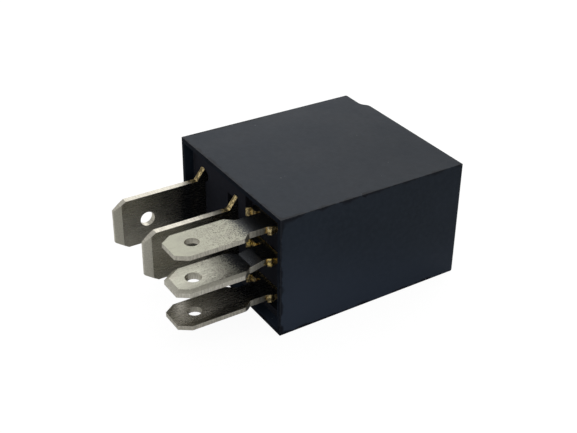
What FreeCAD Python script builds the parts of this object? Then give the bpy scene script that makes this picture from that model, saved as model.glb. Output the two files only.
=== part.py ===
"""Automotive changeover relay of the micro size, with five blade terminals, lying on its side.

X runs across the relay, Y from the blades' tips to the cover's closed end, Z up.
Sizes are measured with Y = 0 on the cover's rim, which is the seating plane. At the end every
piece is moved along Y, so that the origin lies on the floor under the middle of the relay.
All lengths are in millimetres and all angles in degrees.
"""
import FreeCAD, Part
import math
import os

# Cover
COVER_WIDTH = 22.94
COVER_HEIGHT = 15.3
COVER_LENGTH = 25.4
RIM_WALL = 0.6
END_WALL = 0.9
LEDGE = 0.2
WIDTH_DRAFT = 0.10
HEIGHT_DRAFT = 0.13
END_EDGE_RADIUS = 0.4
LAND_HEIGHT = 0.77
LAND_SETBACK = 2.65
LAND_RAMP = 1.75

# Base
BASE_RECESS = 1.15
BASE_THICKNESS = 2.45
BASE_FIT = 0.05
SLOT_FIT = 0.05
BASE_CORNER_RADIUS = 0.5
WELL_DEPTH = 0.9
WELL_REACH = 4.53
WELL_BORDER = 0.9
WELL_CORNER_RADIUS = 0.6
ROOT_POCKET_DEPTH = 1.0
ROOT_POCKET_REACH = 2.0
ROOT_NOTCH_RADIUS = 0.85
RAIL_WIDTH = 1.2
RAIL_HEIGHT = 1.4
POST_BLOCK_HEIGHT = 1.2
POST_BLOCK_BORDER = 0.5

# Blades
SHEET = 0.8
BLADE_LENGTH = 11.0
WIDE_BLADE = 6.3
NARROW_BLADE = 4.8
WIDE_CORNER_ALONG = 1.6
WIDE_CORNER_ACROSS = 1.0
NARROW_CORNER_ALONG = 1.35
NARROW_CORNER_ACROSS = 0.95
TIP_BEVEL_LENGTH = 1.0
TIP_BEVEL_DEPTH = 0.22
COINED_BEVEL_WIDTH = 0.45
COINED_BEVEL_DEPTH = 0.25
WIDE_HOLE_RADIUS = 0.93
NARROW_HOLE_RADIUS = 0.83
WIDE_HOLE_FROM_TIP = 4.25
NARROW_HOLE_FROM_TIP = 2.85
HOLE_RIM_BEVEL = 0.12
NECK_WIDTH = 3.06
NECK_START = 2.93
NECK_SHOULDER = 1.05
NECK_BEND_START = 1.6
NECK_BEND_RUN = 1.5
NECK_LIFT_87A = 0.35

# Terminal places across and up
FAR_WALL_TO_30 = 3.23
X_87 = -0.20
NEAR_WALL_TO_NARROW = 4.94
NARROW_PITCH = 4.57

# Terminal roots
WIDE_ROOT = 9.2
WIDE_ROOT_END = 2.6
WIDE_SHOULDER_START = 0.04
NARROW_ROOT_FAR = 3.3
NARROW_ROOT_NEAR = 1.95
NARROW_ROOT_TOP = 0.95
NARROW_ROOT_END = 2.35
EAR_WIDTH = 0.45
EAR_HEIGHT = 0.5
EAR_SWELL = 0.14
NECK_RELIEF = 0.4
TAIL_WIDTH = 4.3
TAIL_REACH = 3.6
POST_WIDTH = 4.6
BEND_RADIUS = 0.3
TAG_WIDTH = 1.8
TAG_RISE = 3.0
TAG_NOTCH = 0.2
TAG_NOTCH_LENGTH = 1.1
FOLD_START = 1.6

# Magnet
YOKE_SHEET = 1.2
YOKE_WIDTH = 10.4
YOKE_BEND_RADIUS = 0.3
YOKE_FOOT_BEYOND_CORE = 3.9
YOKE_EAR_WIDTH = 0.8
YOKE_EAR_HEIGHT = 0.9
CORE_SHARE = 0.3885
CORE_STUD_RADIUS = 1.5
CORE_HEAD_RADIUS = 2.0
CORE_HEAD_HEIGHT = 0.4
POLE_RADIUS = 3.6
POLE_HEIGHT = 1.2
POLE_GAP = 0.03
BOBBIN_WALL = 0.6
BOBBIN_FIT = 0.05
FLANGE = 0.8
FLANGE_GAP = 0.35
FLANGE_SIDE_GAP = 0.3
FLANGE_CORNER_RADIUS = 1.2
LEAD_NOTCH_RADIUS = 0.5
WINDING_MARGIN = 0.5

# Armature, spring and contacts
ARMATURE_SHEET = 1.0
ARMATURE_WIDTH = 9.6
ARMATURE_BEYOND_POLE = 0.5
ARMATURE_INSET = 0.55
ARMATURE_EAR_GAP = 0.2
ARMATURE_CORNER_RADIUS = 0.8
ARMATURE_REAR_BEVEL = 0.3
STUD_RADIUS = 0.65
STUD_HEAD_RADIUS = 0.95
STUD_HEAD_HEIGHT = 0.3
STUD_SPACING = 4.0
STUD_FROM_HINGE = 5.6
DIMPLE_DEPTH = 0.3
SPRING_SHEET = 0.2
SPRING_WIDTH = 6.8
SPRING_TIP_WIDTH = 3.4
SPRING_BEYOND_CONTACT = 0.25
SPRING_TAPER_START = 8.5
SPRING_TAIL_LENGTH = 10.0
SPRING_BEND_RADIUS = 0.8
SPRING_WINDOW_WIDTH = 3.0
SPRING_WINDOW_REACH = 2.2
RIVET_HEAD_HEIGHT = 0.35
RIVET_HEAD_RADIUS = 1.05
RIVET_SHANK_RADIUS = 0.6
RIVET_DROP = 7.0
RIVET_COVER_GAP = 0.15
CONTACT_GAP = 0.6
CONTACT_CLEARANCE = 0.02
CONTACT_RADIUS = 1.2
CONTACT_HEIGHT = 0.45
CONTACT_DOME_RADIUS = 6.0
CONTACT_SHANK_RADIUS = 0.55
CONTACT_PEEN_RADIUS = 0.85
CONTACT_PEEN_HEIGHT = 0.2
CONTACT_FROM_BREAK_POST = 1.92
POST_COVER_GAP = 0.35
POST_SPACE = 3.52
BREAK_ARM_END_GAP = 0.6

# Coil suppression and leads
RESISTOR_RADIUS = 1.05
RESISTOR_WAIST_RADIUS = 0.85
RESISTOR_LENGTH = 5.6
RESISTOR_CAP = 1.1
RESISTOR_GAP = 0.25
RESISTOR_LEAD_RADIUS = 0.25
RESISTOR_LEAD_BEYOND = 0.45
SOLDER_RADIUS = 0.62
SOLDER_COLLAR_RADIUS = 0.33
SOLDER_HEIGHT = 0.4
LEAD_WIRE_RADIUS = 0.11
LEAD_WRAPS = 3
LEAD_WRAP_PITCH = 0.26

# Places that follow from the sizes above
MID_Z = COVER_HEIGHT / 2
X_30 = FAR_WALL_TO_30 - COVER_WIDTH / 2
X_NARROW = COVER_WIDTH / 2 - NEAR_WALL_TO_NARROW
BASE_INNER = BASE_RECESS + BASE_THICKNESS
ROOM_HALF_X = COVER_WIDTH / 2 - WIDTH_DRAFT - RIM_WALL - LEDGE
ROOM_HALF_Z = COVER_HEIGHT / 2 - HEIGHT_DRAFT - RIM_WALL - LEDGE
YOKE_OUTER_X = -ROOM_HALF_X + RIVET_COVER_GAP + RIVET_HEAD_HEIGHT + SPRING_SHEET
YOKE_INNER_X = YOKE_OUTER_X + YOKE_SHEET
YOKE_FOOT_Y = BASE_INNER + RAIL_HEIGHT
BREAK_POST_X = ROOM_HALF_X - POST_COVER_GAP - SHEET / 2
MAKE_POST_X = BREAK_POST_X - POST_SPACE - SHEET
CONTACT_X = BREAK_POST_X - SHEET / 2 - CONTACT_FROM_BREAK_POST
FLANGE_LOW_X = YOKE_INNER_X + FLANGE_GAP
FLANGE_HIGH_X = MAKE_POST_X - SHEET / 2 - FLANGE_GAP
FLANGE_HALF_Z = ROOM_HALF_Z - FLANGE_SIDE_GAP
COIL_X = (FLANGE_LOW_X + FLANGE_HIGH_X) / 2
HINGE_X = YOKE_OUTER_X + ARMATURE_INSET
CONTACT_ARM = CONTACT_X - HINGE_X
REST_ANGLE = math.degrees(math.asin(CONTACT_GAP / CONTACT_ARM))
BREAK_ARM_Y = COVER_LENGTH - END_WALL - BREAK_ARM_END_GAP - SHEET / 2
MOVING_STACK = ARMATURE_SHEET + SPRING_SHEET + CONTACT_HEIGHT
HINGE_Y = BREAK_ARM_Y - SHEET / 2 - CONTACT_HEIGHT - CONTACT_GAP - CONTACT_CLEARANCE - MOVING_STACK
BOBBIN_LOW_Y = YOKE_FOOT_Y + YOKE_SHEET
BOBBIN_HIGH_Y = HINGE_Y - POLE_GAP - POLE_HEIGHT
WINDING_RADIUS = min(FLANGE_HALF_Z, (FLANGE_HIGH_X - FLANGE_LOW_X) / 2) - WINDING_MARGIN
CORE_RADIUS = CORE_SHARE * WINDING_RADIUS
BARREL_RADIUS = CORE_RADIUS + BOBBIN_FIT + BOBBIN_WALL
SPRING_MID_Y = HINGE_Y + ARMATURE_SHEET + SPRING_SHEET / 2
SPRING_FREE_END_X = CONTACT_X + CONTACT_RADIUS + SPRING_BEYOND_CONTACT
NECK_LOW_X = X_NARROW - NECK_WIDTH / 2
NECK_HIGH_X = X_NARROW + NECK_WIDTH / 2
NARROW_Z = {"86": MID_Z + NARROW_PITCH, "87a": MID_Z, "85": MID_Z - NARROW_PITCH}
ROOT_Z_87A = MID_Z + NECK_LIFT_87A
TAG_X = (MAKE_POST_X + BREAK_POST_X) / 2
RESISTOR_Y = BASE_INNER + POST_BLOCK_HEIGHT + RESISTOR_GAP + RESISTOR_RADIUS
TAG_END_Y = RESISTOR_Y + TAG_RISE
TAG_NOTCH_Y = TAG_END_Y - 2 * TAG_NOTCH_LENGTH
MAKE_RUN_Y = BASE_INNER - SHEET / 2
TO_ORIGIN = FreeCAD.Vector(0, (BLADE_LENGTH - COVER_LENGTH) / 2, 0)

X_AXIS = FreeCAD.Vector(1, 0, 0)
Y_AXIS = FreeCAD.Vector(0, 1, 0)
Z_AXIS = FreeCAD.Vector(0, 0, 1)

# Maps a flat drawing's two coordinates and the distance off its plane to a point in space
PLANES = {
    "XY": lambda u, v, off: FreeCAD.Vector(u, v, off),
    "XZ": lambda u, v, off: FreeCAD.Vector(u, off, v),
    "YZ": lambda u, v, off: FreeCAD.Vector(off, u, v),
}


def block(x_low, x_high, y_low, y_high, z_low, z_high):
    """Rectangular block between two corners."""
    corner = FreeCAD.Vector(x_low, y_low, z_low)
    return Part.makeBox(x_high - x_low, y_high - y_low, z_high - z_low, corner)


def rounded_block(x_low, x_high, y_low, y_high, z_low, z_high, radius):
    """Block whose four edges along Y are rounded."""
    shape = block(x_low, x_high, y_low, y_high, z_low, z_high)
    return shape.makeFillet(radius, edges_along(shape, Y_AXIS))


def edges_along(shape, axis):
    """Straight edges of a shape that run along an axis."""
    found = []
    for edge in shape.Edges:
        if isinstance(edge.Curve, Part.Line) and abs(edge.tangentAt(edge.FirstParameter).dot(axis)) > 0.999:
            found.append(edge)
    return found


def plate(plane, outline, low, high):
    """Flat plate with the given outline, between two distances off its plane."""
    lift = PLANES[plane]
    points = [lift(u, v, low) for u, v in outline]
    face = Part.Face(Part.makePolygon(points + points[:1]))
    return face.extrude(lift(0, 0, high) - lift(0, 0, low))


def bent_strip(plane, centre_line, thickness, bend_radius, low, high):
    """Sheet strip that follows a centre line, with a round bend at each inner point."""
    lift = PLANES[plane]
    points = [FreeCAD.Vector(u, v, 0) for u, v in centre_line]
    runs = [(b - a).normalize() for a, b in zip(points, points[1:])]
    mid_radius = bend_radius + thickness / 2

    def placed(point):
        """Point of the flat drawing, in space."""
        return lift(point.x, point.y, low)

    def side(offset):
        """Edges of one side of the strip, from its first end to its last."""
        edges = []
        start = points[0] + runs[0].cross(Z_AXIS) * -offset
        for corner, into, out in zip(points[1:-1], runs, runs[1:]):
            turn = math.atan2(into.cross(out).z, into.dot(out))
            way = math.copysign(1, turn)
            cut = mid_radius * math.tan(abs(turn) / 2)
            centre = corner - into * cut + into.cross(Z_AXIS) * (-way * mid_radius)
            crown = centre + (corner - centre).normalize() * (mid_radius - way * offset)
            first = corner - into * cut + into.cross(Z_AXIS) * -offset
            last = corner + out * cut + out.cross(Z_AXIS) * -offset
            edges.append(Part.LineSegment(placed(start), placed(first)).toShape())
            edges.append(Part.Arc(placed(first), placed(crown), placed(last)).toShape())
            start = last
        end = points[-1] + runs[-1].cross(Z_AXIS) * -offset
        edges.append(Part.LineSegment(placed(start), placed(end)).toShape())
        return edges, placed(end)

    left, left_end = side(thickness / 2)
    right, right_end = side(-thickness / 2)
    caps = [
        Part.LineSegment(left_end, right_end).toShape(),
        Part.LineSegment(left[0].Vertexes[0].Point, right[0].Vertexes[0].Point).toShape(),
    ]
    face = Part.Face(Part.Wire(Part.__sortEdges__(left + right + caps)))
    return face.extrude(lift(0, 0, high) - lift(0, 0, low))


def turned(profile, base, axis):
    """Solid turned about an axis from a list of (radius, height) points."""
    across = axis.cross(X_AXIS if abs(axis.x) < 0.5 else Y_AXIS)
    points = [base + across * radius + axis * height for radius, height in profile]
    face = Part.Face(Part.makePolygon(points + points[:1]))
    return face.revolve(base, axis, 360)


def tilted(shape):
    """Turn a shape drawn with the armature on the pole to where the spring rests it."""
    shape = shape.copy()
    shape.rotate(FreeCAD.Vector(HINGE_X, HINGE_Y, 0), Z_AXIS, REST_ANGLE)
    return shape


def half_sizes(y, inset):
    """Half the width and height inside the cover's drafted faces by an inset."""
    share = y / COVER_LENGTH
    return (
        COVER_WIDTH / 2 - inset - WIDTH_DRAFT * share,
        COVER_HEIGHT / 2 - inset - HEIGHT_DRAFT * share,
    )


def drafted_box(inset, y_low, y_high):
    """Box inside the cover's faces by an inset, narrowing with the draft to the closed end."""
    half_x, half_z = half_sizes(y_low, inset)
    end_x, end_z = half_sizes(y_high, inset)
    return Part.makeWedge(
        -half_x, y_low, MID_Z - half_z, MID_Z - end_z, -end_x,
        half_x, y_high, MID_Z + half_z, MID_Z + end_z, end_x,
    )


def end_cutter(set_in):
    """What lies beyond the closed end's S-shaped profile, moved in by a wall."""
    far_x = -COVER_WIDTH
    ramp_x = -COVER_WIDTH / 2 + LAND_SETBACK + set_in
    land_y = COVER_LENGTH - set_in
    low_y = land_y - LAND_HEIGHT
    mid = FreeCAD.Vector(ramp_x + LAND_RAMP / 2, land_y - LAND_HEIGHT / 2, 0)
    foot = FreeCAD.Vector(ramp_x, low_y, 0)
    crest = FreeCAD.Vector(ramp_x + LAND_RAMP, land_y, 0)
    corners = [
        crest,
        FreeCAD.Vector(COVER_WIDTH, land_y, 0),
        FreeCAD.Vector(COVER_WIDTH, 2 * COVER_LENGTH, 0),
        FreeCAD.Vector(far_x, 2 * COVER_LENGTH, 0),
        FreeCAD.Vector(far_x, low_y, 0),
        foot,
    ]
    edges = [Part.LineSegment(a, b).toShape() for a, b in zip(corners, corners[1:])]
    edges.append(tangent_arc(foot, X_AXIS, mid))
    edges.append(tangent_arc(crest, X_AXIS * -1, mid))
    face = Part.Face(Part.Wire(Part.__sortEdges__(edges)))
    face.translate(FreeCAD.Vector(0, 0, -COVER_HEIGHT))
    return face.extrude(FreeCAD.Vector(0, 0, 3 * COVER_HEIGHT))


def tangent_arc(start, direction, end):
    """Arc that leaves a point in a direction and meets an end point."""
    chord = end - start
    across = chord - direction * chord.dot(direction)
    radius = chord.Length ** 2 / (2 * across.Length)
    centre = start + across.normalize() * radius
    middle = centre + ((start + end) / 2 - centre).normalize() * radius
    return Part.Arc(start, middle, end).toShape()


def make_cover():
    """Drafted shell, open at the rim, with a ledge for the base and a land on its end."""
    outer = drafted_box(0, 0, COVER_LENGTH).cut(end_cutter(0))
    outer = outer.makeFillet(END_EDGE_RADIUS, end_edges(outer))
    mouth = drafted_box(RIM_WALL, 0, BASE_INNER)
    room = drafted_box(RIM_WALL + LEDGE, 0, COVER_LENGTH).cut(end_cutter(END_WALL))
    return outer.cut(mouth.fuse(room))


def end_edges(shape):
    """The edges round the closed end's outline."""
    found = []
    for edge in shape.Edges:
        box = edge.BoundBox
        at_end = box.YMin > COVER_LENGTH - LAND_HEIGHT - END_WALL
        on_side = box.ZLength < LEDGE and box.XLength > 0
        on_flank = box.ZLength > COVER_HEIGHT / 2 and abs(box.Center.x) > COVER_WIDTH / 2 - RIM_WALL
        if at_end and (on_side or on_flank):
            found.append(edge)
    return found


def make_base():
    """Header plate with terminal slots, root pockets, a sunk well and supports for the coil frame."""
    half_x, half_z = half_sizes(BASE_INNER, RIM_WALL + BASE_FIT)
    low_z, high_z = MID_Z - half_z, MID_Z + half_z
    base = rounded_block(
        -half_x, half_x, BASE_RECESS, BASE_INNER, low_z, high_z, BASE_CORNER_RADIUS)
    well = rounded_block(
        X_NARROW - WELL_REACH, half_x - WELL_BORDER, BASE_RECESS, BASE_RECESS + WELL_DEPTH,
        low_z + WELL_BORDER, high_z - WELL_BORDER, WELL_CORNER_RADIUS)
    base = base.cut(well)
    for rail_z in (MID_Z - YOKE_WIDTH / 2 + RAIL_WIDTH / 2, MID_Z + YOKE_WIDTH / 2 - RAIL_WIDTH / 2):
        rail = block(
            YOKE_OUTER_X + YOKE_BEND_RADIUS + YOKE_SHEET, COIL_X + YOKE_FOOT_BEYOND_CORE,
            BASE_INNER, YOKE_FOOT_Y, rail_z - RAIL_WIDTH / 2, rail_z + RAIL_WIDTH / 2)
        base = base.fuse(rail)
    post_block = block(
        MAKE_POST_X - SHEET / 2 - POST_BLOCK_BORDER, half_x, BASE_INNER,
        BASE_INNER + POST_BLOCK_HEIGHT,
        MID_Z - POST_WIDTH / 2 - POST_BLOCK_BORDER, MID_Z + POST_WIDTH / 2 + POST_BLOCK_BORDER)
    inner_limit = block(
        -half_x, BREAK_POST_X + SHEET / 2 + SLOT_FIT, BASE_INNER,
        BASE_INNER + POST_BLOCK_HEIGHT, 0, COVER_HEIGHT)
    base = base.fuse(post_block.common(inner_limit))
    for x_mid in (X_30, X_87):
        base = base.cut(wide_slots(x_mid))
    base = base.cut(root_pocket()).cut(root_notch())
    base = base.cut(make_run_channel())
    base = base.cut(narrow_slot(ROOT_Z_87A))
    for name in ("85", "86"):
        base = base.cut(narrow_slot(NARROW_Z[name])).cut(tag_slot(NARROW_Z[name]))
    base = base.cut(break_post_slot())
    return base.removeSplitter()


def wide_slots(x_mid):
    """Stepped slot for a wide terminal: its broad root, then its narrower tail."""
    half_x = SHEET / 2 + SLOT_FIT
    root_half = WIDE_ROOT / 2 + SLOT_FIT
    tail_half = POST_WIDTH / 2 + SLOT_FIT
    root = block(
        x_mid - half_x, x_mid + half_x, BASE_RECESS, WIDE_ROOT_END + SLOT_FIT,
        MID_Z - root_half, MID_Z + root_half)
    tail = block(
        x_mid - half_x, x_mid + half_x, WIDE_ROOT_END, BASE_INNER + RAIL_HEIGHT,
        MID_Z - tail_half, MID_Z + tail_half)
    return root.fuse(tail)


def root_pocket():
    """Rectangular pocket round the middle wide blade's root."""
    half_z = WIDE_BLADE / 2 + ROOT_POCKET_DEPTH
    return block(
        X_87 - ROOT_POCKET_REACH, X_87 + SHEET / 2 + SLOT_FIT, BASE_RECESS,
        BASE_RECESS + ROOT_POCKET_DEPTH, MID_Z - half_z, MID_Z + half_z)


def root_notch():
    """Round notch beside the far wide blade's upper shoulder."""
    centre = FreeCAD.Vector(X_30 + SHEET / 2, BASE_RECESS, MID_Z + WIDE_ROOT / 2 - ROOT_NOTCH_RADIUS)
    return Part.makeCylinder(ROOT_NOTCH_RADIUS, ROOT_POCKET_DEPTH, centre, Y_AXIS)


def make_run_channel():
    """Channel in the inner face for the make terminal's run to its post."""
    half_z = POST_WIDTH / 2 + SLOT_FIT
    low_x = X_87 - SHEET / 2 - SLOT_FIT
    floor_y = BASE_INNER - SHEET - SLOT_FIT
    channel = block(
        low_x, MAKE_POST_X + SHEET / 2 + SLOT_FIT, floor_y, BASE_INNER + POST_BLOCK_HEIGHT,
        MID_Z - half_z, MID_Z + half_z)
    bend_room = block(
        low_x, X_87 + SHEET / 2 + BEND_RADIUS, floor_y - BEND_RADIUS, BASE_INNER,
        MID_Z - half_z, MID_Z + half_z)
    return channel.fuse(bend_room)


def narrow_slot(z_mid):
    """Slot for a narrow terminal's root."""
    half_z = SHEET / 2 + SLOT_FIT
    return block(
        X_NARROW - NARROW_ROOT_FAR - SLOT_FIT, X_NARROW + NARROW_ROOT_NEAR + SLOT_FIT,
        BASE_RECESS, NARROW_ROOT_END + SLOT_FIT, z_mid - half_z, z_mid + half_z)


def tag_slot(z_mid):
    """Slot through the base for a coil terminal's tag."""
    half_z = SHEET / 2 + SLOT_FIT
    return block(
        TAG_X - TAG_WIDTH / 2 - SLOT_FIT, TAG_X + TAG_WIDTH / 2 + SLOT_FIT,
        BASE_RECESS, BASE_INNER + POST_BLOCK_HEIGHT, z_mid - half_z, z_mid + half_z)


def break_post_slot():
    """Slot for the folded foot of the break terminal, open at the inner face."""
    half_z = SHEET / 2 + SLOT_FIT
    floor = block(
        TAG_X - TAG_WIDTH / 2, BREAK_POST_X + SHEET / 2 + SLOT_FIT,
        FOLD_START - SLOT_FIT, BASE_INNER, ROOT_Z_87A - half_z, ROOT_Z_87A + half_z)
    wall = block(
        BREAK_POST_X - SHEET / 2 - SLOT_FIT, BREAK_POST_X + SHEET / 2 + SLOT_FIT,
        FOLD_START - SLOT_FIT, BASE_INNER + POST_BLOCK_HEIGHT,
        ROOT_Z_87A - half_z, MID_Z + POST_WIDTH / 2 + SLOT_FIT)
    post = block(
        BREAK_POST_X - SHEET / 2 - SLOT_FIT, BREAK_POST_X + SHEET / 2 + SLOT_FIT,
        BASE_INNER, BASE_INNER + POST_BLOCK_HEIGHT,
        MID_Z - POST_WIDTH / 2 - SLOT_FIT, MID_Z + POST_WIDTH / 2 + SLOT_FIT)
    bend_room = block(
        BREAK_POST_X - SHEET / 2 - BEND_RADIUS, BREAK_POST_X, FOLD_START - SLOT_FIT, BASE_INNER,
        ROOT_Z_87A, ROOT_Z_87A + SHEET / 2 + BEND_RADIUS)
    return floor.fuse(wall).fuse(post).fuse(bend_room)


def wide_blade(x_mid):
    """Wide blade with its sloped shoulders and broad root, bevelled on both faces at the tip."""
    half = WIDE_BLADE / 2
    root = WIDE_ROOT / 2
    upper = [
        (-BLADE_LENGTH, half - WIDE_CORNER_ACROSS),
        (WIDE_CORNER_ALONG - BLADE_LENGTH, half),
        (WIDE_SHOULDER_START, half),
        (BASE_RECESS, root),
        (WIDE_ROOT_END, root),
    ]
    outline = [(y, MID_Z + z) for y, z in upper] + [(y, MID_Z - z) for y, z in reversed(upper)]
    blade = plate("YZ", outline, x_mid - SHEET / 2, x_mid + SHEET / 2)
    tip = SHEET / 2 - TIP_BEVEL_DEPTH
    side = [
        (x_mid - tip, -BLADE_LENGTH),
        (x_mid + tip, -BLADE_LENGTH),
        (x_mid + SHEET / 2, TIP_BEVEL_LENGTH - BLADE_LENGTH),
        (x_mid + SHEET / 2, WIDE_ROOT_END),
        (x_mid - SHEET / 2, WIDE_ROOT_END),
        (x_mid - SHEET / 2, TIP_BEVEL_LENGTH - BLADE_LENGTH),
    ]
    blade = blade.common(plate("XY", side, 0, COVER_HEIGHT))
    hole_start = FreeCAD.Vector(x_mid - SHEET, WIDE_HOLE_FROM_TIP - BLADE_LENGTH, MID_Z)
    return blade.cut(Part.makeCylinder(WIDE_HOLE_RADIUS, 2 * SHEET, hole_start, X_AXIS))


def make_terminal_30():
    """Far wide terminal, its tail folded flat under the yoke's foot."""
    tail_y = YOKE_FOOT_Y - SHEET / 2
    line = [(X_30, FOLD_START), (X_30, tail_y), (X_30 + TAIL_REACH, tail_y)]
    tail = bent_strip(
        "XY", line, SHEET, BEND_RADIUS, MID_Z - TAIL_WIDTH / 2, MID_Z + TAIL_WIDTH / 2)
    return wide_blade(X_30).fuse(tail).removeSplitter()


def make_terminal_87():
    """Middle wide terminal: under the coil frame, up the post and over to the make contact."""
    shelf_y = make_shelf_y()
    line = [
        (X_87, FOLD_START),
        (X_87, MAKE_RUN_Y),
        (MAKE_POST_X, MAKE_RUN_Y),
        (MAKE_POST_X, shelf_y),
        (CONTACT_X + CONTACT_RADIUS, shelf_y),
    ]
    strip = bent_strip(
        "XY", line, SHEET, BEND_RADIUS, MID_Z - POST_WIDTH / 2, MID_Z + POST_WIDTH / 2)
    strip = strip.cut(contact_hole(CONTACT_X, shelf_y))
    return wide_blade(X_87).fuse(strip).removeSplitter()


def make_shelf_y():
    """Middle of the make shelf's sheet, below the contact that it carries."""
    face = HINGE_Y + ARMATURE_SHEET - CONTACT_HEIGHT - CONTACT_CLEARANCE
    return face - CONTACT_HEIGHT - SHEET / 2


def contact_hole(x_mid, y_mid):
    """Hole through a contact shelf for its contact's shank."""
    start = FreeCAD.Vector(x_mid, y_mid - SHEET, MID_Z)
    return Part.makeCylinder(CONTACT_SHANK_RADIUS, 2 * SHEET, start, Y_AXIS)


def narrow_blade(z_mid, bevel_up, lift=0):
    """Narrow blade with its neck, eared root and coined bevel on one broad face."""
    half = NARROW_BLADE / 2
    tip_y = -BLADE_LENGTH
    low_z = z_mid - SHEET / 2
    high_z = z_mid + SHEET / 2
    outline = [
        (X_NARROW - half, tip_y + NARROW_CORNER_ALONG),
        (X_NARROW - half + NARROW_CORNER_ACROSS, tip_y),
        (X_NARROW + half - NARROW_CORNER_ACROSS, tip_y),
        (X_NARROW + half, tip_y + NARROW_CORNER_ALONG),
        (X_NARROW + half, -NECK_START),
        (NECK_HIGH_X, NECK_SHOULDER - NECK_START),
        (NECK_LOW_X, NECK_SHOULDER - NECK_START),
        (X_NARROW - half, -NECK_START),
    ]
    blade = plate("XY", outline, low_z, high_z)
    rim_z = high_z if bevel_up else low_z
    rim = [e for e in blade.Edges if on_bevel(e, rim_z)]
    blade = bevelled(blade, rim, rim_z)
    hole_y = NARROW_HOLE_FROM_TIP - BLADE_LENGTH
    hole = Part.makeCylinder(
        NARROW_HOLE_RADIUS, 2 * SHEET, FreeCAD.Vector(X_NARROW, hole_y, z_mid - SHEET), Z_AXIS)
    blade = blade.cut(hole).cut(hole_rim(hole_y, rim_z, bevel_up))
    return blade.fuse(neck(z_mid, lift)).fuse(root_plate(z_mid + lift)).fuse(root_ears(z_mid + lift))


def neck(z_mid, lift):
    """Neck between blade and root, with a slight double bend where the root sits higher."""
    if lift == 0:
        return block(
            NECK_LOW_X, NECK_HIGH_X, -NECK_START, NARROW_ROOT_END,
            z_mid - SHEET / 2, z_mid + SHEET / 2)
    line = [
        (-NECK_START, z_mid),
        (-NECK_BEND_START, z_mid),
        (NECK_BEND_RUN - NECK_BEND_START, z_mid + lift),
        (NARROW_ROOT_END, z_mid + lift),
    ]
    return bent_strip("YZ", line, SHEET, BEND_RADIUS, NECK_LOW_X, NECK_HIGH_X)


def root_plate(z_mid):
    """Broad root that the base grips, with a relief notch beside the neck."""
    low_z = z_mid - SHEET / 2
    high_z = z_mid + SHEET / 2
    root = block(
        X_NARROW - NARROW_ROOT_FAR, X_NARROW + NARROW_ROOT_NEAR,
        NARROW_ROOT_TOP, NARROW_ROOT_END, low_z, high_z)
    relief = block(
        NECK_LOW_X - NECK_RELIEF, NECK_LOW_X,
        NARROW_ROOT_TOP, NARROW_ROOT_TOP + NECK_RELIEF, low_z, high_z)
    return root.cut(relief)


def on_bevel(edge, rim_z):
    """Whether an edge lies on the coined face, round the tip or along the near side."""
    box = edge.BoundBox
    level = abs(box.ZMin - rim_z) < 1e-6 and box.ZLength < 1e-6
    at_tip = box.YMin < -NECK_START - NARROW_CORNER_ALONG
    return level and at_tip and box.XMax > X_NARROW - NARROW_BLADE / 2 + 1e-6


def bevelled(blade, rim, rim_z):
    """Chamfer the rim so that its broad side lies on the blade's face."""
    trial = blade.makeChamfer(COINED_BEVEL_WIDTH, COINED_BEVEL_DEPTH, rim)
    side = [f for f in trial.Faces if abs(f.BoundBox.ZMin - rim_z) < 1e-6 and f.BoundBox.ZLength < 1e-6]
    swapped = blade.makeChamfer(COINED_BEVEL_DEPTH, COINED_BEVEL_WIDTH, rim)
    other = [f for f in swapped.Faces if abs(f.BoundBox.ZMin - rim_z) < 1e-6 and f.BoundBox.ZLength < 1e-6]
    return trial if sum(f.Area for f in side) < sum(f.Area for f in other) else swapped


def hole_rim(hole_y, rim_z, bevel_up):
    """Cone that breaks the hole's edge on the coined face."""
    into = Z_AXIS * (-1 if bevel_up else 1)
    centre = FreeCAD.Vector(X_NARROW, hole_y, rim_z)
    return Part.makeCone(
        NARROW_HOLE_RADIUS + HOLE_RIM_BEVEL, NARROW_HOLE_RADIUS, HOLE_RIM_BEVEL, centre, into)


def root_ears(z_mid):
    """Two sheared ears that stand out of the base beside the neck."""
    swell = SHEET / 2 + EAR_SWELL
    near = X_NARROW + NARROW_ROOT_NEAR
    far = X_NARROW - NARROW_ROOT_FAR
    ears = []
    for x_low, height in ((near - EAR_WIDTH, EAR_HEIGHT), (far, EAR_HEIGHT)):
        outline = [
            (x_low, NARROW_ROOT_TOP + EAR_SWELL),
            (x_low, NARROW_ROOT_TOP - height),
            (x_low + EAR_WIDTH / 2, NARROW_ROOT_TOP - height - EAR_SWELL),
            (x_low + EAR_WIDTH, NARROW_ROOT_TOP - height / 2),
            (x_low + EAR_WIDTH, NARROW_ROOT_TOP + EAR_SWELL),
        ]
        ears.append(plate("XY", outline, z_mid - swell, z_mid + swell))
    return ears[0].fuse(ears[1])


def make_coil_terminal(name, bevel_up):
    """Coil terminal whose inner tag carries a lead wire and the resistor's lead."""
    z_mid = NARROW_Z[name]
    low_z, high_z = z_mid - SHEET / 2, z_mid + SHEET / 2
    half = TAG_WIDTH / 2
    notch_high = TAG_NOTCH_Y + TAG_NOTCH_LENGTH
    right = [
        (half, NARROW_ROOT_END - SHEET),
        (half, TAG_NOTCH_Y),
        (half - TAG_NOTCH, TAG_NOTCH_Y),
        (half - TAG_NOTCH, notch_high),
        (half, notch_high),
        (half - TAG_NOTCH, TAG_END_Y),
    ]
    outline = [(TAG_X + x, y) for x, y in right] + [(TAG_X - x, y) for x, y in reversed(right)]
    tag = plate("XY", outline, low_z, high_z)
    hole = Part.makeCylinder(
        RESISTOR_LEAD_RADIUS, 2 * SHEET, FreeCAD.Vector(TAG_X, RESISTOR_Y, z_mid - SHEET), Z_AXIS)
    return narrow_blade(z_mid, bevel_up).fuse(tag).cut(hole).removeSplitter()


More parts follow.
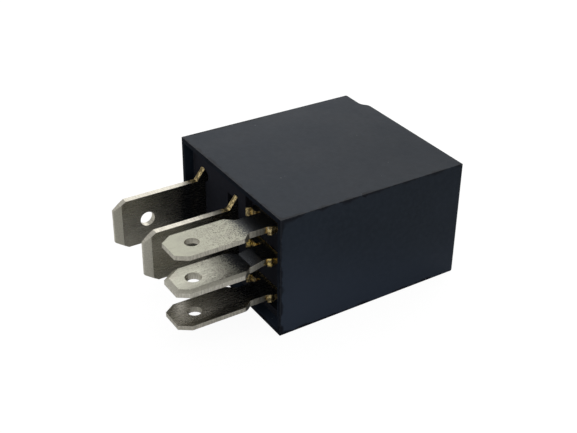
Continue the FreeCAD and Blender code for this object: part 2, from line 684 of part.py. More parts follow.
def make_terminal_87a():
    """Break terminal: folded up beside the base, then a post with its arm over the contact."""
    low_z = MID_Z - POST_WIDTH / 2
    high_z = MID_Z + POST_WIDTH / 2
    step_y = BASE_INNER + SLOT_FIT
    foot = bent_strip(
        "XZ",
        [(TAG_X - TAG_WIDTH / 2, ROOT_Z_87A), (BREAK_POST_X, ROOT_Z_87A), (BREAK_POST_X, high_z)],
        SHEET, BEND_RADIUS, FOLD_START, BASE_INNER)
    riser = block(
        BREAK_POST_X - SHEET / 2, BREAK_POST_X + SHEET / 2, BASE_INNER, step_y + SHEET,
        ROOT_Z_87A + SHEET, high_z)
    line = [
        (BREAK_POST_X, step_y),
        (BREAK_POST_X, BREAK_ARM_Y),
        (CONTACT_X - CONTACT_RADIUS, BREAK_ARM_Y),
    ]
    arm = bent_strip("XY", line, SHEET, BEND_RADIUS, low_z, high_z)
    arm = arm.cut(contact_hole(CONTACT_X, BREAK_ARM_Y))
    link = block(
        TAG_X - TAG_WIDTH / 2, X_NARROW + NARROW_ROOT_NEAR, FOLD_START, NARROW_ROOT_END,
        ROOT_Z_87A - SHEET / 2, ROOT_Z_87A + SHEET / 2)
    blade = narrow_blade(MID_Z, True, NECK_LIFT_87A)
    return blade.fuse(link).fuse(foot).fuse(riser).fuse(arm).removeSplitter()


def make_yoke():
    """L-shaped iron frame with two ears that keep the armature in line."""
    low_z = MID_Z - YOKE_WIDTH / 2
    high_z = MID_Z + YOKE_WIDTH / 2
    mid_x = YOKE_OUTER_X + YOKE_SHEET / 2
    mid_y = YOKE_FOOT_Y + YOKE_SHEET / 2
    line = [(COIL_X + YOKE_FOOT_BEYOND_CORE, mid_y), (mid_x, mid_y), (mid_x, HINGE_Y)]
    yoke = bent_strip("XY", line, YOKE_SHEET, YOKE_BEND_RADIUS, low_z, high_z)
    for ear_z in (low_z, high_z - YOKE_EAR_WIDTH):
        ear = block(
            YOKE_OUTER_X, YOKE_INNER_X, HINGE_Y, HINGE_Y + YOKE_EAR_HEIGHT,
            ear_z, ear_z + YOKE_EAR_WIDTH)
        yoke = yoke.fuse(ear)
    stud_start = FreeCAD.Vector(COIL_X, YOKE_FOOT_Y - YOKE_SHEET, MID_Z)
    yoke = yoke.cut(Part.makeCylinder(CORE_STUD_RADIUS, 3 * YOKE_SHEET, stud_start, Y_AXIS))
    for rivet_z in rivet_heights():
        start = FreeCAD.Vector(YOKE_OUTER_X - YOKE_SHEET, HINGE_Y - RIVET_DROP, rivet_z)
        yoke = yoke.cut(Part.makeCylinder(RIVET_SHANK_RADIUS, 3 * YOKE_SHEET, start, X_AXIS))
    return yoke.removeSplitter()


def rivet_heights():
    """Z of the two rivets, which is also that of the armature's two studs."""
    return (MID_Z - STUD_SPACING / 2, MID_Z + STUD_SPACING / 2)


def make_core():
    """Iron core turned in one piece: staked head, stud, shaft and pole plate."""
    foot = YOKE_FOOT_Y - CORE_HEAD_HEIGHT
    profile = [
        (0, 0),
        (CORE_HEAD_RADIUS - CORE_HEAD_HEIGHT / 2, 0),
        (CORE_HEAD_RADIUS, CORE_HEAD_HEIGHT / 2),
        (CORE_HEAD_RADIUS, CORE_HEAD_HEIGHT),
        (CORE_STUD_RADIUS, CORE_HEAD_HEIGHT),
        (CORE_STUD_RADIUS, BOBBIN_LOW_Y - foot),
        (CORE_RADIUS, BOBBIN_LOW_Y - foot),
        (CORE_RADIUS, BOBBIN_HIGH_Y - foot),
        (POLE_RADIUS, BOBBIN_HIGH_Y - foot),
        (POLE_RADIUS, HINGE_Y - POLE_GAP - foot),
        (0, HINGE_Y - POLE_GAP - foot),
    ]
    return turned(profile, FreeCAD.Vector(COIL_X, foot, MID_Z), Y_AXIS)


def make_bobbin():
    """Spool: two square flanges with round corners on a tube, with notches for the leads."""
    flanges = []
    for y_low in (BOBBIN_LOW_Y, BOBBIN_HIGH_Y - FLANGE):
        flanges.append(rounded_block(
            FLANGE_LOW_X, FLANGE_HIGH_X, y_low, y_low + FLANGE,
            MID_Z - FLANGE_HALF_Z, MID_Z + FLANGE_HALF_Z, FLANGE_CORNER_RADIUS))
    start = FreeCAD.Vector(COIL_X, BOBBIN_LOW_Y, MID_Z)
    length = BOBBIN_HIGH_Y - BOBBIN_LOW_Y
    spool = flanges[0].fuse(flanges[1]).fuse(Part.makeCylinder(BARREL_RADIUS, length, start, Y_AXIS))
    spool = spool.cut(Part.makeCylinder(CORE_RADIUS + BOBBIN_FIT, length, start, Y_AXIS))
    for way in (-1, 1):
        notch = FreeCAD.Vector(FLANGE_HIGH_X, BOBBIN_LOW_Y, lead_exit_z(way))
        spool = spool.cut(Part.makeCylinder(LEAD_NOTCH_RADIUS, FLANGE, notch, Y_AXIS))
    return spool.removeSplitter()


def lead_exit_z(way):
    """Height at which a lead wire passes the bobbin's lower flange."""
    return MID_Z + way * (FLANGE_HALF_Z - FLANGE_CORNER_RADIUS - LEAD_NOTCH_RADIUS)


def make_coil_winding():
    """Wound wire between the flanges, as one ring with slightly rounded outer edges."""
    low = BOBBIN_LOW_Y + FLANGE
    high = BOBBIN_HIGH_Y - FLANGE
    soft = WINDING_MARGIN / 2
    profile = [
        (BARREL_RADIUS, 0),
        (WINDING_RADIUS - soft, 0),
        (WINDING_RADIUS, soft),
        (WINDING_RADIUS, high - low - soft),
        (WINDING_RADIUS - soft, high - low),
        (BARREL_RADIUS, high - low),
    ]
    return turned(profile, FreeCAD.Vector(COIL_X, low, MID_Z), Y_AXIS)


def make_coil_lead_wires():
    """The winding's two ends: from the winding through a flange notch to wraps on the tags."""
    wires = []
    for way, name in ((-1, "85"), (1, "86")):
        wires.append(lead_wire(way, NARROW_Z[name]))
    return Part.makeCompound(wires)


def lead_wire(way, tag_z):
    """One lead: a run past the flange, a bend to the tag and a few square turns round it."""
    exit_z = lead_exit_z(way)
    notch_x = FLANGE_HIGH_X - LEAD_WIRE_RADIUS * 2
    half_x = TAG_WIDTH / 2 - TAG_NOTCH + LEAD_WIRE_RADIUS
    half_z = way * (SHEET / 2 + LEAD_WIRE_RADIUS)
    first_y = TAG_NOTCH_Y + 2 * LEAD_WIRE_RADIUS
    route = [
        FreeCAD.Vector(notch_x, BOBBIN_LOW_Y + FLANGE, exit_z),
        FreeCAD.Vector(notch_x, BOBBIN_LOW_Y - 2 * LEAD_WIRE_RADIUS, exit_z),
    ]
    corners = [(-half_x, -half_z), (half_x, -half_z), (half_x, half_z), (-half_x, half_z)]
    for step in range(LEAD_WRAPS * len(corners)):
        x, z = corners[step % len(corners)]
        y = first_y + step * LEAD_WRAP_PITCH / len(corners)
        route.append(FreeCAD.Vector(TAG_X + x, y, tag_z + z))
    return round_wire(route, LEAD_WIRE_RADIUS)


def round_wire(points, radius):
    """Wire along straight runs with mitred corners."""
    ring = Part.Wire(Part.makeCircle(radius, points[0], points[1] - points[0]))
    return Part.makePolygon(points).makePipeShell([ring], True, False, 1)


def make_armature():
    """Clapper plate with staked studs, narrowed between the yoke's ears."""
    half = ARMATURE_WIDTH / 2
    neck = YOKE_WIDTH / 2 - YOKE_EAR_WIDTH - ARMATURE_EAR_GAP
    end_x = COIL_X + POLE_RADIUS + ARMATURE_BEYOND_POLE
    neck_x = YOKE_INNER_X + ARMATURE_EAR_GAP
    upper = [(HINGE_X, neck), (neck_x, neck), (neck_x, half), (end_x, half)]
    outline = [(x, MID_Z + z) for x, z in upper] + [(x, MID_Z - z) for x, z in reversed(upper)]
    body = plate("XZ", outline, HINGE_Y, HINGE_Y + ARMATURE_SHEET)
    corners = [e for e in edges_along(body, Y_AXIS) if e.BoundBox.XMin > COIL_X]
    body = body.makeFillet(ARMATURE_CORNER_RADIUS, corners)
    top_rear = [
        e for e in edges_along(body, Z_AXIS)
        if e.BoundBox.XMax < HINGE_X + 1e-6 and e.BoundBox.YMin > HINGE_Y + ARMATURE_SHEET / 2
    ]
    body = body.makeChamfer(ARMATURE_REAR_BEVEL, top_rear)
    for stud_z in rivet_heights():
        foot = FreeCAD.Vector(HINGE_X + STUD_FROM_HINGE, HINGE_Y + ARMATURE_SHEET, stud_z)
        body = body.fuse(staked_stud(foot))
        dimple = FreeCAD.Vector(foot.x, HINGE_Y, stud_z)
        body = body.cut(Part.makeCylinder(STUD_RADIUS, DIMPLE_DEPTH, dimple, Y_AXIS))
    return tilted(body.removeSplitter())


def staked_stud(foot):
    """Stud through the spring with its head spread over it."""
    top = SPRING_SHEET + STUD_HEAD_HEIGHT
    profile = [
        (0, 0),
        (STUD_RADIUS, 0),
        (STUD_RADIUS, SPRING_SHEET),
        (STUD_HEAD_RADIUS, SPRING_SHEET),
        (STUD_HEAD_RADIUS, SPRING_SHEET + STUD_HEAD_HEIGHT / 2),
        (STUD_HEAD_RADIUS - STUD_HEAD_HEIGHT / 2, top),
        (0, top),
    ]
    return turned(profile, foot, Y_AXIS)


def make_contact_spring():
    """One-piece leaf spring: tail on the yoke, bend over the hinge, arm to the moving contact."""
    tail_x = YOKE_OUTER_X - SPRING_SHEET / 2
    angle = math.radians(REST_ANGLE)
    rise = SPRING_MID_Y - HINGE_Y
    along = (tail_x - HINGE_X + rise * math.sin(angle)) / math.cos(angle)
    corner_y = HINGE_Y + along * math.sin(angle) + rise * math.cos(angle)
    reach = SPRING_FREE_END_X - HINGE_X
    free_end = (
        HINGE_X + reach * math.cos(angle) - rise * math.sin(angle),
        HINGE_Y + reach * math.sin(angle) + rise * math.cos(angle),
    )
    line = [(tail_x, HINGE_Y - SPRING_TAIL_LENGTH), (tail_x, corner_y), free_end]
    half = SPRING_WIDTH / 2
    strip = bent_strip("XY", line, SPRING_SHEET, SPRING_BEND_RADIUS, MID_Z - half, MID_Z + half)
    strip = strip.common(tilted(spring_plan()))
    strip = strip.cut(spring_window())
    for z in rivet_heights():
        tail_hole = FreeCAD.Vector(tail_x - SPRING_SHEET, HINGE_Y - RIVET_DROP, z)
        strip = strip.cut(Part.makeCylinder(RIVET_SHANK_RADIUS, 2 * SPRING_SHEET, tail_hole, X_AXIS))
        arm_hole = FreeCAD.Vector(HINGE_X + STUD_FROM_HINGE, HINGE_Y, z)
        strip = strip.cut(tilted(Part.makeCylinder(STUD_RADIUS, 2 * MOVING_STACK, arm_hole, Y_AXIS)))
    contact_hole_start = FreeCAD.Vector(CONTACT_X, HINGE_Y, MID_Z)
    shank = Part.makeCylinder(CONTACT_SHANK_RADIUS, 2 * MOVING_STACK, contact_hole_start, Y_AXIS)
    return strip.cut(tilted(shank)).removeSplitter()


def spring_plan():
    """Prism with the spring's outline seen from above the armature: straight, then tapered."""
    low_y = HINGE_Y - 2 * SPRING_TAIL_LENGTH
    high_y = HINGE_Y + COVER_LENGTH
    half = SPRING_WIDTH / 2
    tip_half = SPRING_TIP_WIDTH / 2
    taper_x = HINGE_X + SPRING_TAPER_START
    outline = [
        (-COVER_WIDTH, MID_Z - half),
        (taper_x, MID_Z - half),
        (CONTACT_X, MID_Z - tip_half),
        (COVER_WIDTH, MID_Z - tip_half),
        (COVER_WIDTH, MID_Z + tip_half),
        (CONTACT_X, MID_Z + tip_half),
        (taper_x, MID_Z + half),
        (-COVER_WIDTH, MID_Z + half),
    ]
    return plate("XZ", outline, low_y, high_y)


def spring_window():
    """Window through the bend that leaves two narrow legs to flex."""
    half = SPRING_WINDOW_WIDTH / 2
    return block(
        YOKE_OUTER_X - 2 * SPRING_SHEET, HINGE_X + SPRING_WINDOW_REACH,
        HINGE_Y - SPRING_WINDOW_REACH, SPRING_MID_Y + MOVING_STACK, MID_Z - half, MID_Z + half)


def make_yoke_rivets():
    """Two rivets that hold the spring's tail on the yoke, flush inside."""
    rivets = []
    for z in rivet_heights():
        inner = FreeCAD.Vector(YOKE_INNER_X, HINGE_Y - RIVET_DROP, z)
        grip = YOKE_SHEET + SPRING_SHEET
        profile = [
            (0, 0),
            (RIVET_SHANK_RADIUS, 0),
            (RIVET_SHANK_RADIUS, grip),
            (RIVET_HEAD_RADIUS, grip),
            (RIVET_HEAD_RADIUS, grip + RIVET_HEAD_HEIGHT / 2),
            (RIVET_HEAD_RADIUS - RIVET_HEAD_HEIGHT / 2, grip + RIVET_HEAD_HEIGHT),
            (0, grip + RIVET_HEAD_HEIGHT),
        ]
        rivets.append(turned(profile, inner, X_AXIS * -1))
    return Part.makeCompound(rivets)


def contact_head(face_y, way):
    """Domed contact head: a disc whose face is a shallow part of a ball."""
    start = FreeCAD.Vector(CONTACT_X, face_y - way * CONTACT_HEIGHT, MID_Z)
    disc = Part.makeCylinder(CONTACT_RADIUS, CONTACT_HEIGHT, start, Y_AXIS * way)
    centre = FreeCAD.Vector(CONTACT_X, face_y - way * CONTACT_DOME_RADIUS, MID_Z)
    return disc.common(Part.makeSphere(CONTACT_DOME_RADIUS, centre))


def make_moving_contact():
    """Contact rivet with a domed head on each side of the spring."""
    high = HINGE_Y + MOVING_STACK
    low = HINGE_Y + ARMATURE_SHEET - CONTACT_HEIGHT
    shank_start = FreeCAD.Vector(CONTACT_X, low + CONTACT_HEIGHT, MID_Z)
    shank = Part.makeCylinder(CONTACT_SHANK_RADIUS, SPRING_SHEET, shank_start, Y_AXIS)
    heads = contact_head(high, 1).fuse(contact_head(low, -1))
    return tilted(heads.fuse(shank).removeSplitter())


def fixed_contact(face_y, way):
    """Contact rivet on a shelf: flat head, shank through the sheet and a peened end."""
    back = CONTACT_HEIGHT + SHEET
    profile = [
        (0, 0),
        (CONTACT_RADIUS, 0),
        (CONTACT_RADIUS, CONTACT_HEIGHT),
        (CONTACT_SHANK_RADIUS, CONTACT_HEIGHT),
        (CONTACT_SHANK_RADIUS, back),
        (CONTACT_PEEN_RADIUS, back),
        (CONTACT_SHANK_RADIUS, back + CONTACT_PEEN_HEIGHT),
        (0, back + CONTACT_PEEN_HEIGHT),
    ]
    return turned(profile, FreeCAD.Vector(CONTACT_X, face_y, MID_Z), Y_AXIS * way)


def make_make_contact():
    """Fixed contact under the moving one, closed when the coil is energised."""
    return fixed_contact(make_shelf_y() + SHEET / 2 + CONTACT_HEIGHT, -1)


def make_break_contact():
    """Fixed contact over the moving one, closed at rest."""
    return fixed_contact(BREAK_ARM_Y - SHEET / 2 - CONTACT_HEIGHT, 1)


def make_resistor_body():
    """Moulded resistor with a swollen cap at each end."""
    low = MID_Z - RESISTOR_LENGTH / 2
    slope = RESISTOR_RADIUS - RESISTOR_WAIST_RADIUS
    half = [
        (0, 0),
        (RESISTOR_RADIUS - slope, 0),
        (RESISTOR_RADIUS, slope),
        (RESISTOR_RADIUS, RESISTOR_CAP),
        (RESISTOR_WAIST_RADIUS, RESISTOR_CAP + slope),
    ]
    profile = half + [(radius, RESISTOR_LENGTH - height) for radius, height in reversed(half)]
    return turned(profile, FreeCAD.Vector(TAG_X, RESISTOR_Y, low), Z_AXIS)


def make_resistor_leads():
    """Two straight leads from the resistor's ends through the coil terminals' tags."""
    leads = []
    for way in (-1, 1):
        start = FreeCAD.Vector(TAG_X, RESISTOR_Y, MID_Z + way * RESISTOR_LENGTH / 2)
        length = NARROW_PITCH + SHEET / 2 + RESISTOR_LEAD_BEYOND - RESISTOR_LENGTH / 2
        leads.append(Part.makeCylinder(RESISTOR_LEAD_RADIUS, length, start, Z_AXIS * way))
    return Part.makeCompound(leads)


def make_solder_joints():
    """Solder cone round each resistor lead on the outer face of its tag."""
    joints = []
    for way in (-1, 1):
        start = FreeCAD.Vector(TAG_X, RESISTOR_Y, MID_Z + way * (NARROW_PITCH + SHEET / 2))
        profile = [
            (RESISTOR_LEAD_RADIUS, 0),
            (SOLDER_RADIUS, 0),
            (SOLDER_COLLAR_RADIUS, SOLDER_HEIGHT),
            (RESISTOR_LEAD_RADIUS, SOLDER_HEIGHT),
        ]
        joints.append(turned(profile, start, Z_AXIS * way))
    return Part.makeCompound(joints)


def main():
    """Build every piece and write one STEP file for each."""
    pieces = {
        "cover": make_cover(),
        "base": make_base(),
        "terminal_30": make_terminal_30(),
        "terminal_85": make_coil_terminal("85", False),
        "terminal_86": make_coil_terminal("86", False),
        "terminal_87": make_terminal_87(),
        "terminal_87a": make_terminal_87a(),
        "yoke": make_yoke(),
        "core": make_core(),
        "bobbin": make_bobbin(),
        "coil_winding": make_coil_winding(),
        "coil_lead_wires": make_coil_lead_wires(),
        "armature": make_armature(),
        "contact_spring": make_contact_spring(),
        "yoke_rivets": make_yoke_rivets(),
        "moving_contact": make_moving_contact(),
        "make_contact": make_make_contact(),
        "break_contact": make_break_contact(),
        "resistor_body": make_resistor_body(),
        "resistor_leads": make_resistor_leads(),
        "solder_joints": make_solder_joints(),
    }
    os.makedirs("parts", exist_ok=True)
    for name, shape in pieces.items():
        shape.translate(TO_ORIGIN)
        shape.exportStep("parts/%s.step" % name)
        box = shape.BoundBox
        print("%-16s solids %d volume %8.2f valid %s  x %.2f %.2f  y %.2f %.2f  z %.2f %.2f" % (
            name, len(shape.Solids), shape.Volume, shape.isValid(),
            box.XMin, box.XMax, box.YMin, box.YMax, box.ZMin, box.ZMax))


main()
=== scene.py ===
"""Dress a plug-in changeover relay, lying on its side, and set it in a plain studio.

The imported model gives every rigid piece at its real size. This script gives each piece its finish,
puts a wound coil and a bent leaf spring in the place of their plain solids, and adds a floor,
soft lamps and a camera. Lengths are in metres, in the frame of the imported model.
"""

import logging
import math
from dataclasses import dataclass
from enum import Enum

import bpy
import numpy as np
from mathutils import Matrix, Vector

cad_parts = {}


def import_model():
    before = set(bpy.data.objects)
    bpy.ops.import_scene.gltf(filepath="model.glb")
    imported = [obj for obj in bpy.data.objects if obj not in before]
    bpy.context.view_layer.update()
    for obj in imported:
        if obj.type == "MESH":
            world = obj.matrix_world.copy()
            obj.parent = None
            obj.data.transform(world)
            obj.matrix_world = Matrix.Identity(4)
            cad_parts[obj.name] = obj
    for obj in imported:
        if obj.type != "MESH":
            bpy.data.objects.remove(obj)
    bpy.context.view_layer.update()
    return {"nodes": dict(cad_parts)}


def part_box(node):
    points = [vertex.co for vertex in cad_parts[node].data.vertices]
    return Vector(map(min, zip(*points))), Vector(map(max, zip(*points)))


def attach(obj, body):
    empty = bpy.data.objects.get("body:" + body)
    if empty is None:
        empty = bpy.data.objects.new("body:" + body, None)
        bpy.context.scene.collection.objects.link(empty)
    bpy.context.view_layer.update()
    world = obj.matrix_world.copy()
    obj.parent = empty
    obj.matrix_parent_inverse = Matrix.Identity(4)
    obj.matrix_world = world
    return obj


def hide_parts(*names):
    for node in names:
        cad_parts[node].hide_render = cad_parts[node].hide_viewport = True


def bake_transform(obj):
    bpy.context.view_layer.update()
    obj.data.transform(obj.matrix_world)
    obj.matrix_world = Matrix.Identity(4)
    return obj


LOG = logging.getLogger("relay")
MM = 0.001

Colour = tuple[float, float, float]
Place = tuple[float, float, float]


class PlateAxis(Enum):
    """The axis along which a sheet piece is thin."""

    X = (1.0, 0.0, 0.0)
    Y = (0.0, 1.0, 0.0)
    Z = (0.0, 0.0, 1.0)


class Body(Enum):
    """The two bodies that the hinge joins."""

    HOUSING = "housing"
    ARMATURE = "armature"


class Graph:
    """A node tree with short ways to place and join nodes."""

    def __init__(self, tree: bpy.types.NodeTree) -> None:
        """Keep the tree.

        Args:
            tree: The material's or group's node tree.
        """
        self.tree = tree

    def node(self, kind: str, **options: object) -> bpy.types.Node:
        """Place a node and set its plain options.

        Args:
            kind: Blender's type name of the node, without the word ShaderNode.
            options: Property names and values.

        Returns:
            The new node.
        """
        made = self.tree.nodes.new("ShaderNode" + kind)
        for name, value in options.items():
            setattr(made, name, value)
        return made

    def feed(self, socket: bpy.types.NodeSocket, value: object) -> None:
        """Give an input a value, or join it to another node's output.

        Args:
            socket: The input.
            value: A number, a tuple or an output socket.
        """
        if isinstance(value, bpy.types.NodeSocket):
            self.tree.links.new(value, socket)
        elif isinstance(value, tuple) and socket.type == "RGBA":
            socket.default_value = (*value[:3], 1.0)
        else:
            socket.default_value = value

    def math(self, operation: str, *values: object) -> bpy.types.NodeSocket:
        """Arithmetic on one to three values.

        Args:
            operation: Blender's name of the operation.
            values: Numbers or sockets, in the order of the node's inputs.

        Returns:
            The result's socket.
        """
        made = self.node("Math", operation=operation)
        for socket, value in zip(made.inputs, values):
            self.feed(socket, value)
        return made.outputs[0]

    def vector_math(self, operation: str, *values: object) -> bpy.types.Node:
        """Arithmetic on vectors.

        Args:
            operation: Blender's name of the operation.
            values: Vectors or sockets, in the order of the node's inputs.

        Returns:
            The node, whose output the caller picks.
        """
        made = self.node("VectorMath", operation=operation)
        for socket, value in zip(made.inputs, values):
            self.feed(socket, value)
        return made

    def ramp(self, value: object, low: float, high: float, smooth: bool = True) -> bpy.types.NodeSocket:
        """Map a value to 0 at low and 1 at high, and hold it there outside.

        Args:
            value: The value or socket.
            low: Where the result is 0.
            high: Where the result is 1, above or below low.
            smooth: Whether the step eases in and out.

        Returns:
            The mapped value's socket.
        """
        made = self.node("MapRange", interpolation_type="SMOOTHSTEP" if smooth else "LINEAR")
        made.clamp = True
        for name, given in (("Value", value), ("From Min", low), ("From Max", high)):
            self.feed(made.inputs[name], given)
        if high < low:
            self.feed(made.inputs["From Min"], high)
            self.feed(made.inputs["From Max"], low)
            self.feed(made.inputs["To Min"], 1.0)
            self.feed(made.inputs["To Max"], 0.0)
        return made.outputs["Result"]

    def mix(self, mask: object, first: object, second: object) -> bpy.types.NodeSocket:
        """Blend two colours by a mask.

        Args:
            mask: 0 gives the first and 1 the second.
            first: A colour or socket.
            second: A colour or socket.

        Returns:
            The blended colour's socket.
        """
        # Inputs 6 and 7 and output 2 of this node are its colours.
        made = self.node("Mix", data_type="RGBA")
        self.feed(made.inputs[0], mask)
        self.feed(made.inputs[6], first)
        self.feed(made.inputs[7], second)
        return made.outputs[2]

    def tint(self, base: object, mask: object, share: float, tone: object) -> bpy.types.NodeSocket:
        """Lay a tone over a colour where a mask says so.

        Args:
            base: The colour or socket below.
            mask: Where the tone lies, from 0 to 1.
            share: How much of the colour it covers there.
            tone: The tone or socket.

        Returns:
            The blended colour's socket.
        """
        return self.mix(self.math("MULTIPLY", mask, share), base, tone)

    def total(self, *parts: tuple[object, float]) -> bpy.types.NodeSocket:
        """Sum of values, each times a weight.

        Args:
            parts: Pairs of a value or socket and its weight.

        Returns:
            The sum's socket.
        """
        result = 0.0
        for value, weight in parts:
            result = self.math("MULTIPLY_ADD", value, weight, result)
        return result

    def blend(self, mask: object, first: object, second: object) -> bpy.types.NodeSocket:
        """Blend two numbers by a mask.

        Args:
            mask: 0 gives the first and 1 the second.
            first: A number or socket.
            second: A number or socket.

        Returns:
            The blended number's socket.
        """
        made = self.node("Mix", data_type="FLOAT")
        self.feed(made.inputs[0], mask)
        self.feed(made.inputs[2], first)
        self.feed(made.inputs[3], second)
        return made.outputs[0]

    def place(self) -> bpy.types.NodeSocket:
        """Where the shaded point lies.

        Returns:
            Socket of the piece's own coordinates, in metres.
        """
        return self.node("TexCoord").outputs["Object"]

    def along_y(self) -> bpy.types.NodeSocket:
        """Where the shaded point lies along Y, the way that the blades point.

        Returns:
            The coordinate's socket, in metres.
        """
        split = self.node("SeparateXYZ")
        self.feed(split.inputs[0], self.place())
        return split.outputs[1]

    def facing(self) -> bpy.types.NodeSocket:
        """Which way the surface faces.

        Returns:
            Socket of the direction, in the piece's own axes.
        """
        return self.node("TexCoord").outputs["Normal"]

    def noise(self, size: float, detail: float = 2.0) -> bpy.types.NodeSocket:
        """Cloudy noise between 0 and 1.

        Args:
            size: Length of one cloud in metres.
            detail: How many finer layers it has.

        Returns:
            The noise value's socket.
        """
        made = self.node("TexNoise")
        self.feed(made.inputs["Vector"], self.place())
        self.feed(made.inputs["Scale"], 1.0 / size)
        self.feed(made.inputs["Detail"], detail)
        return made.outputs["Fac"]

    def group(self, tree: bpy.types.NodeTree, **values: object) -> bpy.types.Node:
        """Place a shared node group and set its named inputs.

        Args:
            tree: The group's tree.
            values: Input names, with _ for a space, and their values.

        Returns:
            The group's node.
        """
        made = self.node("Group")
        made.node_tree = tree
        for name, value in values.items():
            self.feed(made.inputs[name.replace("_", " ").title()], value)
        return made


def new_group(name: str, inputs: dict[str, object], output: str) -> tuple[Graph, dict, bpy.types.Node]:
    """Start a shader node group with named sockets.

    Args:
        name: The group's name.
        inputs: Input names with their default values; a tuple makes a vector.
        output: Name of the one output, a plain number.

    Returns:
        The group's graph, its input sockets by name and its output node.
    """
    tree = bpy.data.node_groups.new(name, "ShaderNodeTree")
    for socket_name, default in inputs.items():
        kind = "NodeSocketVector" if isinstance(default, tuple) else "NodeSocketFloat"
        made = tree.interface.new_socket(name=socket_name, in_out="INPUT", socket_type=kind)
        made.default_value = default
    tree.interface.new_socket(name=output, in_out="OUTPUT", socket_type="NodeSocketFloat")
    graph = Graph(tree)
    source = tree.nodes.new("NodeGroupInput")
    return graph, {s.name: s for s in source.outputs if s.name}, tree.nodes.new("NodeGroupOutput")


